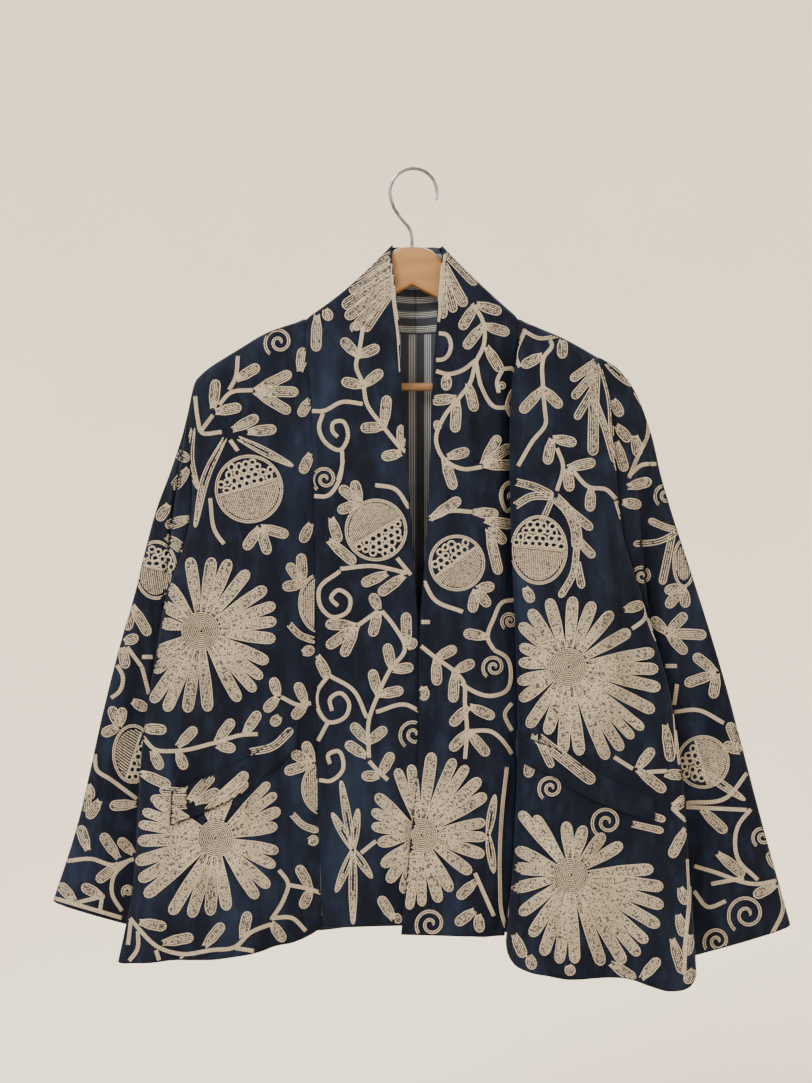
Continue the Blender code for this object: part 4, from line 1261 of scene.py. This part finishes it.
bandFlower = [421, 835, 18, 397, 769, 411, 765, 376, 795, 372, 811, 372, 826, 378, 843, 382, 866,
              388, 882, 403, 893, 409, 909, 432, 753, 454, 759, 467, 766, 480, 779, 486, 795,
              485, 822, 486, 837, 484, 855, 471, 873, 451, 891, 439, 902, 422, 906]
motifs = {
    "rightFront": {
        "curl": [(279, 342, 16)],
        "stem": [
            (238, 356, 235, 379, 229, 390), (219, 405, 230, 393, 253, 390), (213, 415, 201, 431),
            (195, 396, 198, 420, 201, 432, 222, 432), (210, 498, 216, 533, 224, 544),
            (230, 440, 238, 451), (143, 737, 154, 749, 175, 751, 214, 743, 242, 735, 258, 734),
            (281, 697, 300, 705, 311, 703), (289, 885, 309, 889, 321, 893),
            (279, 870, 288, 883, 283, 901, 271, 920),
            (130, 918, 139, 929, 158, 947, 181, 954, 212, 950, 235, 947, 250, 933, 271, 924),
            (273, 918, 292, 918, 306, 931), (156, 950, 160, 963), (181, 956, 185, 963),
            (235, 948, 254, 951), (131, 920, 128, 945), (138, 931, 137, 950, 129, 961)],
        "blade": [
            (238, 438, 293, 466), (225, 438, 207, 474, 195, 527), (193, 428, 190, 460, 198, 489),
            (186, 432, 181, 470, 180, 500)],
        "leaf": [
            (300, 372, 303, 348), (236, 380, 259, 366), (213, 409, 216, 380),
            (215, 412, 241, 407), (232, 430, 258, 417), (247, 432, 276, 429),
            (310, 399, 300, 416), (311, 453, 302, 473), (311, 523, 302, 542),
            (302, 653, 314, 649), (141, 728, 166, 730), (177, 747, 196, 728),
            (216, 742, 233, 720), (216, 745, 235, 749), (244, 735, 259, 712),
            (152, 750, 161, 769), (178, 752, 185, 769), (278, 697, 273, 678),
            (278, 697, 265, 711), (306, 704, 297, 683), (306, 704, 293, 718),
            (280, 716, 272, 725), (308, 841, 318, 840), (139, 922, 166, 927),
            (162, 943, 193, 937), (204, 947, 223, 924), (242, 939, 248, 912),
            (271, 922, 284, 941), (311, 889, 298, 866), (311, 889, 302, 908),
            (139, 772, 170, 786)],
        "fan": [
            (254, 391, 291, 373, 298, 392, 290, 412), (260, 527, 245, 549, 268, 554, 288, 535),
            (303, 584, 301, 554, 288, 564, 283, 587), (313, 763, 305, 742, 292, 753, 285, 772)],
        "fruit": [(249, 489, 34.5, 34.5, 260, 527)],
        "bulb": [(322, 603, 24, 31, 322, 570), (328, 788, 27, 29, 328, 755)],
        "bar": [
            (187, 792, 160, 790, 9), (187, 799, 151, 799, 10), (187, 805, 158, 807, 9),
            (250, 752, 272, 747, 292, 729, 9), (289, 624, 300, 635, 316, 641, 8),
            (292, 814, 303, 825, 318, 831, 8)],
        "flower": [
            (201, 631, 20, 190, 558, 212, 558, 229, 560, 248, 571, 266, 588, 275, 605, 276, 621,
             275, 639, 268, 662, 262, 678, 255, 691, 239, 701, 208, 711, 187, 712, 166, 711,
             152, 702, 154, 672, 152, 655, 168, 584, 162, 603, 159, 622),
            (216, 838, 19, 269, 783, 276, 794, 280, 810, 277, 826, 278, 851, 275, 866, 269, 887,
             257, 898, 227, 910, 210, 915, 191, 917, 171, 914, 145, 896, 139, 880, 136, 862,
             138, 841, 139, 824, 143, 811, 154, 800, 204, 797, 217, 791, 231, 786)]},
    "rightWelt": {
        "petal": [(196, 830, 139, 823, 15), (198, 828, 143, 810, 15), (200, 826, 154, 800, 13)],
        "leaf": [(188, 801, 213, 775), (194, 803, 219, 791)],
        "bar": [
            (187, 792, 160, 790, 9), (187, 799, 151, 799, 10), (187, 805, 158, 807, 9),
            (187, 790, 172, 784, 8), (208, 812, 247, 773, 12), (212, 816, 247, 782, 10),
            (208, 806, 240, 778, 9), (216, 819, 236, 796, 10), (208, 820, 224, 810, 12),
            (250, 752, 272, 747, 292, 729, 9)]},
    "rightBand": {
        "bar": [
            (393, 256, 364, 274, 14), (393, 265, 350, 292, 14), (393, 274, 343, 307, 13),
            (393, 281, 346, 318, 12), (393, 287, 355, 328, 12), (393, 290, 365, 331, 9)],
        "curl": [(356, 327, 6), (325, 479, 14), (414, 734, 16)],
        "stem": [
            (363, 327, 359, 352, 356, 365, 363, 384, 367, 404, 382, 425, 402, 450),
            (393, 258, 393, 285, 394, 300, 398, 330, 401, 372),
            (363, 404, 342, 402, 323, 411, 312, 411),
            (323, 413, 319, 428, 325, 442, 340, 450, 348, 436, 342, 421, 333, 423, 333, 432,
             338, 437), (342, 450, 342, 467, 338, 480), (343, 460, 338, 483, 327, 496, 314, 496),
            (375, 485, 395, 489, 409, 508), (340, 569, 372, 566, 407, 573), (397, 558, 411, 575),
            (340, 571, 319, 590, 321, 607, 332, 617, 348, 611, 350, 598, 338, 590, 331, 598,
             338, 606), (357, 626, 378, 611),
            (382, 611, 394, 626, 405, 649, 390, 670, 378, 695, 369, 720, 369, 758),
            (376, 712, 407, 705, 419, 711),
            (328, 676, 317, 693, 319, 711, 328, 722, 346, 716, 349, 703, 340, 693, 330, 699,
             332, 711), (330, 676, 353, 690, 367, 718), (328, 722, 318, 741),
            (319, 780, 330, 781, 343, 769, 338, 751, 328, 755, 330, 764),
            (369, 761, 378, 771, 388, 780), (361, 853, 376, 841)],
        "leaf": [
            (317, 314, 316, 351), (325, 309, 330, 320), (358, 356, 342, 339),
            (358, 356, 379, 347), (363, 386, 342, 381), (363, 386, 382, 371),
            (384, 427, 361, 428), (384, 427, 387, 396), (402, 453, 382, 457),
            (402, 453, 402, 425), (331, 517, 339, 542), (328, 540, 355, 563),
            (388, 573, 362, 584), (405, 575, 379, 594), (379, 610, 372, 594),
            (379, 610, 372, 636), (407, 648, 406, 613), (407, 648, 416, 640),
            (392, 670, 387, 644), (392, 670, 413, 667), (378, 695, 372, 670),
            (378, 695, 403, 690), (368, 743, 352, 724), (368, 743, 386, 728),
            (367, 757, 346, 743), (317, 655, 328, 678), (380, 776, 392, 753),
            (380, 776, 362, 776), (394, 920, 380, 897), (394, 920, 401, 917)],
        "blade": [
            (353, 850, 341, 781), (353, 850, 332, 813), (353, 850, 358, 809),
            (353, 850, 336, 892), (353, 850, 353, 924), (353, 850, 372, 878)],
        "fan": [(360, 503, 340, 487, 354, 481, 338, 511), (357, 626, 326, 624, 327, 647, 343, 656)],
        "fruit": [(376, 530, 31.5, 31.5, 360, 503)],
        "flower": [bandFlower]},
    "leftBand": {
        "bar": [
            (443, 278, 443, 318, 10), (442, 268, 454, 312, 11), (443, 265, 465, 306, 12),
            (445, 251, 477, 284, 12), (455, 250, 484, 278, 8)],
        "curl": [(502, 386, 5), (511, 496, 4), (494, 667, 13), (510, 621, 10), (431, 924, 17)],
        "stem": [
            (472, 304, 482, 319, 484, 344, 476, 362, 470, 383, 459, 398, 444, 417, 436, 440,
             444, 459, 463, 469, 482, 467), (476, 360, 461, 371, 447, 374, 436, 371),
            (476, 362, 482, 388, 495, 407, 511, 407), (444, 255, 441, 290, 438, 322),
            (436, 333, 447, 335, 451, 347, 444, 359, 436, 360), (503, 369, 497, 382, 499, 393),
            (503, 369, 513, 369, 517, 382, 509, 397, 507, 408, 513, 419),
            (517, 484, 508, 483, 502, 490, 502, 502, 507, 511, 516, 505),
            (428, 519, 450, 511, 473, 512), (424, 581, 434, 599, 463, 612), (421, 622, 430, 622),
            (515, 600, 503, 602, 494, 618, 488, 639, 494, 650),
            (494, 650, 507, 658, 511, 673, 507, 690, 490, 696, 471, 690, 461, 683),
            (512, 703, 505, 713, 512, 731),
            (421, 646, 436, 658, 454, 671, 463, 681, 465, 704, 467, 729, 465, 759),
            (469, 731, 492, 732, 507, 746, 512, 754),
            (507, 767, 502, 812, 500, 883, 502, 914, 512, 940, 522, 955),
            (475, 873, 482, 889, 494, 916), (376, 712, 407, 705, 419, 711)],
        "leaf": [
            (476, 304, 501, 312), (476, 304, 461, 329), (483, 325, 509, 333),
            (483, 325, 465, 348), (486, 346, 501, 371), (447, 374, 446, 390),
            (468, 383, 475, 411), (457, 398, 432, 401), (441, 425, 434, 426),
            (457, 398, 455, 432), (447, 457, 469, 451), (444, 458, 454, 489),
            (430, 519, 460, 499), (473, 512, 498, 514), (484, 520, 513, 525),
            (490, 526, 505, 543), (488, 528, 499, 574), (488, 637, 464, 633),
            (436, 658, 456, 648), (436, 658, 437, 685), (455, 671, 474, 662),
            (455, 671, 453, 702), (469, 706, 451, 725), (469, 706, 494, 717),
            (468, 731, 451, 750), (468, 731, 488, 755), (424, 686, 424, 700),
            (476, 881, 458, 898), (475, 910, 456, 924), (478, 914, 480, 932)],
        "blade": [(488, 835, 495, 795), (488, 835, 494, 873)],
        "fan": [(482, 465, 499, 436, 511, 446, 514, 465), (476, 589, 494, 586, 489, 606, 472, 612)],
        "fruit": [(457, 563, 28.5, 28.5, 476, 589)],
        "flower": [bandFlower]},
    "leftFront": {
        "curl": [(607, 822, 17), (551, 788, 14)],
        "bar": [
            (516, 482, 535, 487, 553, 496, 9), (515, 506, 530, 497, 553, 496, 9),
            (555, 497, 568, 511, 576, 530, 577, 549, 12), (577, 545, 573, 574, 560, 597, 8),
            (553, 497, 541, 524, 7), (562, 504, 592, 529, 10), (576, 538, 594, 557, 10),
            (577, 562, 582, 588, 9), (596, 362, 571, 380, 10), (595, 372, 573, 398, 10),
            (594, 388, 576, 419, 9), (596, 362, 594, 400, 593, 455, 12),
            (600, 363, 609, 398, 612, 440, 623, 494, 6), (594, 398, 604, 425, 615, 462, 8),
            (538, 738, 562, 757, 594, 782, 13), (540, 742, 552, 767, 9), (630, 808, 665, 820, 8),
            (632, 824, 663, 831, 8)],
        "stem": [
            (525, 329, 517, 361, 520, 367), (526, 332, 538, 338, 558, 336),
            (550, 340, 552, 344, 544, 357, 543, 386, 545, 411, 546, 422, 532, 442, 518, 466),
            (557, 448, 563, 465, 557, 491), (573, 471, 589, 487, 607, 490, 616, 499),
            (632, 629, 645, 618, 647, 604),
            (616, 501, 643, 595, 647, 614, 668, 671, 675, 721, 677, 754), (614, 757, 633, 769),
            (647, 772, 667, 771), (675, 722, 680, 765), (672, 805, 687, 797),
            (672, 808, 686, 821), (687, 797, 689, 806, 686, 814),
            (688, 859, 689, 904, 686, 934, 684, 975)],
        "leaf": [
            (543, 355, 522, 366), (563, 337, 562, 358), (543, 388, 521, 412),
            (543, 388, 561, 407), (552, 438, 576, 443), (552, 438, 547, 464),
            (567, 468, 595, 462), (567, 468, 570, 491), (591, 488, 590, 511),
            (525, 587, 532, 602), (624, 610, 643, 604), (637, 769, 653, 749),
            (637, 769, 665, 791), (664, 774, 684, 775), (665, 724, 671, 761),
            (535, 734, 528, 777), (673, 810, 686, 797), (686, 828, 671, 857),
            (568, 965, 572, 975), (610, 963, 635, 979), (641, 979, 659, 959),
            (529, 955, 533, 969), (514, 934, 524, 957), (680, 887, 686, 904),
            (678, 914, 684, 936), (672, 938, 683, 973), (690, 934, 687, 955),
            (694, 969, 686, 983)],
        "fruit": [(539, 550, 29, 35, 536, 590)],
        "flower": [
            (568, 667, 20, 549, 599, 530, 610, 520, 624, 573, 597, 593, 602, 612, 612, 630, 631,
             654, 652, 658, 669, 660, 688, 654, 711, 643, 729, 633, 738, 622, 750, 607, 759,
             580, 755, 563, 753, 547, 734, 528, 727, 520, 700, 518, 682, 519, 662, 520, 646),
            (571, 875, 18, 520, 812, 535, 816, 516, 849, 513, 867, 512, 889, 520, 914, 566, 822,
             584, 826, 604, 834, 622, 844, 653, 869, 663, 887, 663, 906, 659, 926, 647, 942,
             639, 955, 624, 963, 602, 965, 575, 963, 559, 963, 543, 955, 531, 936)]},
    "leftWelt": {
        "bar": [(538, 738, 562, 757, 594, 782, 13), (540, 742, 552, 767, 9)]},
    "rightSleeve": {
        "curl": [(128, 891, 7)],
        "stem": [
            (127, 647, 142, 667), (142, 667, 149, 694), (142, 657, 153, 657),
            (117, 665, 123, 677, 119, 692, 111, 698), (95, 754, 97, 770, 110, 779, 137, 799),
            (67, 861, 92, 859, 112, 865, 134, 859), (129, 860, 114, 876, 112, 893, 122, 911),
            (75, 903, 105, 896), (102, 898, 100, 911), (54, 898, 122, 918)],
        "leaf": [
            (175, 452, 189, 460), (189, 468, 173, 489), (169, 504, 158, 520),
            (190, 518, 166, 526), (132, 605, 149, 635), (131, 610, 127, 630),
            (124, 642, 138, 637), (122, 647, 126, 668), (132, 701, 147, 709),
            (137, 804, 110, 806), (88, 784, 91, 799), (88, 784, 85, 811), (88, 851, 80, 826),
            (119, 859, 102, 834), (134, 854, 119, 839), (119, 864, 97, 881), (102, 896, 82, 886),
            (75, 901, 59, 884), (166, 536, 186, 552), (100, 800, 88, 818)],
        "fan": [(119, 727, 111, 707, 123, 708, 102, 734)],
        "fruit": [(156, 570, 22, 30, 150, 602), (133, 754, 21, 30, 114, 745)]},
    "leftSleeve": {
        "curl": [(666, 495, 13), (642, 576, 12), (763, 837, 12), (747, 914, 21), (717, 941, 15)],
        "stem": [
            (635, 392, 648, 419, 648, 433, 638, 456, 629, 478), (629, 476, 642, 465, 659, 464),
            (665, 666, 677, 666), (677, 684, 674, 705), (674, 712, 697, 710, 724, 723),
            (747, 773, 726, 798, 686, 803), (686, 807, 747, 810),
            (751, 809, 738, 826, 738, 859, 758, 880), (744, 878, 711, 884),
            (694, 866, 711, 871, 758, 884, 779, 880), (779, 884, 783, 909, 772, 934),
            (694, 891, 708, 907, 726, 901)],
        "leaf": [
            (613, 399, 621, 416), (616, 425, 630, 441), (616, 441, 625, 471),
            (635, 435, 638, 456), (627, 487, 651, 481), (622, 502, 641, 505),
            (701, 809, 726, 832), (717, 853, 744, 875), (777, 869, 769, 852),
            (777, 884, 754, 896)],
        "blade": [(606, 363, 632, 386), (700, 770, 745, 800)],
        "bar": [
            (679, 531, 665, 527, 649, 520, 8), (679, 531, 660, 541, 634, 544, 7),
            (672, 536, 668, 555, 662, 584, 9)],
        "bulb": [(684, 563, 12, 25, 684, 590)],
        "fan": [
            (683, 587, 665, 591, 667, 607, 686, 607),
            (667, 633, 686, 614, 706, 635, 686, 653, 652, 618),
            (717, 673, 694, 655, 685, 684, 713, 698), (741, 752, 729, 723, 724, 744)],
        "fruit": [(703, 762, 27, 27, 738, 752)]}}


def skinTree(name):
    outer = skins[name][0]
    index = np.arange(outer.shape[0] * outer.shape[1]).reshape(outer.shape[:2])
    faces = gridFaces(index, name.endswith("Sleeve"))
    return BVHTree.FromPolygons((outer.reshape(-1, 3) * mm).tolist(), faces.tolist())


def castRow(tree, row, behind):
    # the row's points where the picture plane meets the cloth, in unbroken runs
    eye = Vector(cameraLook["place"])
    line, opening, size = row
    runs, run, before = [], [], None
    for pixelX, pixelY in line:
        over = (pixelX - pictureLook["middleX"]) * pictureLook["pixel"]
        up = -(pixelY - pictureLook["middleY"]) * pictureLook["pixel"]
        flat = Vector((over, pictureLook["distance"], up))
        if behind:
            grow = pictureLook["behindScale"]
            start = Vector((eye.x + flat.x * grow, pictureLook["behind"], eye.z + flat.z * grow))
            spot, way = tree.ray_cast(start, Vector((0.0, -1.0, 0.0)))[:2]
            toEye = Vector((0.0, 1.0, 0.0))
        else:
            spot, way = tree.ray_cast(eye, flat.normalized())[:2]
            toEye = -flat.normalized()
        if spot is not None and way.dot(toEye) < 0:
            way = -way
        good = spot is not None and way.dot(toEye) > stitchLook["leastFacing"]
        if good and before is not None and abs(spot.y - before.y) > stitchLook["deepestStep"]:
            runs.append(run)
            run = []
        if not good:
            runs.append(run)
            run = []
        else:
            run.append((spot, way))
        before = spot if good else None
    runs.append(run)
    return [(run, opening, size) for run in runs if len(run) > 1]


def stitchTree():
    tree = bpy.data.node_groups.new("chainStitchRows", "GeometryNodeTree")

    def socket(name, kind, way="INPUT"):
        return tree.interface.new_socket(name, in_out=way, socket_type="NodeSocket" + kind)

    socket("Geometry", "Geometry")
    socket("Row width", "Float").default_value = stitchLook["rowWidth"]
    socket("Row height", "Float").default_value = stitchLook["rowHeight"]
    socket("Thread", "Material")
    socket("Geometry", "Geometry", "OUTPUT")

    def node(kind, inputs=None, **settings):
        made = tree.nodes.new(kind)
        for name, value in settings.items():
            setattr(made, name, value)
        for name, value in (inputs or {}).items():
            if isinstance(value, bpy.types.NodeSocket):
                tree.links.new(value, made.inputs[name])
            else:
                made.inputs[name].default_value = value
        return made

    def named(name, kind="FLOAT"):
        made = node("GeometryNodeInputNamedAttribute", {"Name": name}, data_type=kind)
        return made.outputs["Attribute"]

    given = node("NodeGroupInput").outputs
    curve = node("GeometryNodeMeshToCurve", {"Mesh": given["Geometry"]})
    turned = node("GeometryNodeSetCurveNormal", {
        "Curve": curve.outputs[0], "Normal": named("facing", "FLOAT_VECTOR")}, mode="FREE")
    ring = node("GeometryNodeCurvePrimitiveCircle", {"Resolution": 3, "Radius": 1.0})
    scale = node("ShaderNodeCombineXYZ", {
        "X": given["Row height"], "Y": given["Row width"], "Z": 1.0})
    place = node("GeometryNodeInputPosition")
    split = node("ShaderNodeSeparateXYZ", {"Vector": place.outputs[0]})
    marked = node("GeometryNodeStoreNamedAttribute", {
        "Geometry": ring.outputs["Curve"], "Name": "across", "Value": split.outputs["Y"]},
        data_type="FLOAT", domain="POINT")
    profile = node("GeometryNodeTransform", {
        "Geometry": marked.outputs[0], "Scale": scale.outputs[0]})
    rows = node("GeometryNodeCurveToMesh", {
        "Curve": turned.outputs[0], "Profile Curve": profile.outputs[0],
        "Scale": named("size"), "Fill Caps": True})
    flat = node("ShaderNodeCombineXYZ", {"X": named("along"), "Y": named("across")})
    mapped = node("GeometryNodeStoreNamedAttribute", {
        "Geometry": rows.outputs[0], "Name": "thread", "Value": flat.outputs[0]},
        data_type="FLOAT2", domain="CORNER")
    smooth = node("GeometryNodeSetShadeSmooth", {"Geometry": mapped.outputs[0]})
    real = node("GeometryNodeRealizeInstances", {"Geometry": smooth.outputs[0]})
    dyed = node("GeometryNodeSetMaterial", {
        "Geometry": real.outputs[0], "Material": given["Thread"]})
    node("NodeGroupOutput", {"Geometry": dyed.outputs[0]})
    return tree


rowTree = stitchTree()
rowSockets = {item.name: item.identifier for item in rowTree.interface.items_tree
              if item.in_out == "INPUT"}


def stitchRows(name, runs):
    # one mesh of edges, turned into raised rows by the node tree
    points, edges, facing, along, size, shade, opening = [], [], [], [], [], [], []
    shades = np.random.default_rng(stitchLook["seed"]).uniform(0.0, 1.0, len(runs))
    for (run, gaps, wide), tone in zip(runs, shades):
        spots = [spot for spot, way in run]
        ways = [way for spot, way in run]
        # the ends taper over their last bit
        for end, beside in ((0, 1), (-1, -2)):
            gap = max((spots[beside] - spots[end]).length, 1e-6)
            short = min(stitchLook["endLength"] / gap, 0.45)
            nearEnd = spots[end].lerp(spots[beside], short)
            at = 1 if end == 0 else len(spots) - 1
            spots.insert(at, nearEnd)
            ways.insert(at, ways[end])
        first, far = len(points), 0.0
        for index, spot in enumerate(spots):
            if index:
                far += (spot - spots[index - 1]).length
                edges.append((first + index - 1, first + index))
            points.append(spot)
            facing.append(ways[index])
            along.append(far / (stitchLook["stitch"] * mm) + tone)
            isEnd = index in (0, len(spots) - 1)
            size.append(wide * (stitchLook["endSize"] if isEnd else 1.0))
            shade.append(tone)
            opening.append(gaps)
    mesh = bpy.data.meshes.new(name)
    mesh.from_pydata(points, edges, [])
    layer = mesh.attributes.new("facing", "FLOAT_VECTOR", "POINT")
    layer.data.foreach_set("vector", [value for way in facing for value in way])
    for title, values in (("along", along), ("size", size), ("shade", shade), ("opening", opening)):
        mesh.attributes.new(title, "FLOAT", "POINT").data.foreach_set("value", values)
    line = newObject(name, mesh)
    rows = line.modifiers.new("rows", "NODES")
    rows.node_group = rowTree
    rows[rowSockets["Thread"]] = thread
    graph = bpy.context.evaluated_depsgraph_get()
    solid = bpy.data.meshes.new_from_object(line.evaluated_get(graph))
    line.modifiers.remove(rows)
    line.data = solid
    return line


def panelRows(place, maps, behind=False):
    tree = skinTree(place)
    runs = []
    for lists in maps:
        for kind, items in lists.items():
            for numbers in items:
                for row in motifMakers[kind](numbers):
                    runs += castRow(tree, row, behind)
    if place.endswith("Band"):
        # the neck's far side shows through the opening and stays bare
        runs = [run for run in runs if min(spot.y for spot, way in run[0]) < 0.0]
    return runs


def within(lists, least, most, top):
    # the motifs of a piece that suit the back, where their first points lie inside the limits
    return {kind: [numbers for numbers in items if least < numbers[0] < most and numbers[1] > top]
            for kind, items in lists.items() if kind not in ("bar", "bulb")}


# a flower below the back of the neck: centre, radius of its disc, reach and number of its petals
neckFlower = {"x": 412, "y": 250, "disc": 15, "reach": 44, "petals": 17, "lastTurn": 5.8}
tips = [value for turn in np.linspace(0.0, neckFlower["lastTurn"], neckFlower["petals"])
        for value in (neckFlower["x"] + neckFlower["reach"] * math.cos(turn),
                      neckFlower["y"] + neckFlower["reach"] * math.sin(turn))]
neckMotif = (neckFlower["x"], neckFlower["y"], neckFlower["disc"], *tips)
backMaps = {
    "backRight": [within(motifs["rightFront"], 0, 900, 0),
                  within(motifs["rightBand"], 0, 900, 335)],
    "backLeft": [dict(within(motifs["leftBand"], 0, 500, 335), flower=[neckMotif]),
                 within(motifs["leftFront"], 522, 900, 0)]}
embroidery = {}
for place, lists in motifs.items():
    runs = panelRows(place, [lists])
    if place.endswith("Sleeve"):
        runs += panelRows(place, [lists], True)
    embroidery[place] = stitchRows(place + "Embroidery", runs)
    print("embroidered", place, len(embroidery[place].data.polygons))
for place, maps in backMaps.items():
    embroidery[place] = stitchRows(place + "Embroidery", panelRows("back", maps, True))
    print("embroidered", place, len(embroidery[place].data.polygons))

for name, material in (("hanger_board", wood), ("hanger_bar", wood), ("hanger_hook", steel)):
    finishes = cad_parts[name].data.materials
    finishes.clear()
    finishes.append(material)
print("hanger finished")

nodeOf = {
    "rightFront": "right_front", "leftFront": "left_front", "back": "back",
    "rightBand": "right_band", "leftBand": "left_band", "rightSleeve": "right_sleeve",
    "leftSleeve": "left_sleeve", "rightWelt": "right_pocket_welt", "leftWelt": "left_pocket_welt",
    "lining": "back_lining", "rightNeckFacing": "right_neck_facing",
    "leftNeckFacing": "left_neck_facing", "backRight": "back", "backLeft": "back"}
# each piece hangs from the root, and the CAD node it stands in for is hidden
for name, piece in embroidery.items():
    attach(piece, "root")
for name, piece in cloth.items():
    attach(piece, "root")
    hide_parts(nodeOf[name])

# pale round studio: a flat floor that sweeps up into a wall all round
studioLook = {"floor": -1.30, "flat": 2.4, "sweep": 0.9, "top": 2.6, "steps": 72, "rise": 8,
              "pale": (0.88, 0.81, 0.69), "warm": (0.92, 0.85, 0.74)}
sweep = [(0.02, 0.0), (studioLook["flat"], 0.0)]
for step in range(1, studioLook["rise"] + 1):
    turn = step / studioLook["rise"] * math.pi / 2
    sweep.append((studioLook["flat"] + studioLook["sweep"] * math.sin(turn),
                  studioLook["sweep"] * (1 - math.cos(turn))))
sweep.append((studioLook["flat"] + studioLook["sweep"], studioLook["top"] - studioLook["floor"]))
count = studioLook["steps"]
corners = [(out * math.cos(2 * math.pi * step / count),
            out * math.sin(2 * math.pi * step / count), studioLook["floor"] + up)
           for out, up in sweep for step in range(count)]
quads = [(line * count + step, line * count + (step + 1) % count,
          (line + 1) * count + (step + 1) % count, (line + 1) * count + step)
         for line in range(len(sweep) - 1) for step in range(count)]
quads = [quad[::-1] for quad in quads] + [tuple(range(count))]
floorMesh = bpy.data.meshes.new("studioFloor")
floorMesh.from_pydata(corners, [], quads)
floorMesh.shade_smooth()
floorRecipe = plainRecipe(studioLook["pale"], studioLook["warm"])
floorMesh.materials.append(finish("paleFloor", floorRecipe, {}))
floor = newObject("studioFloor", floorMesh)
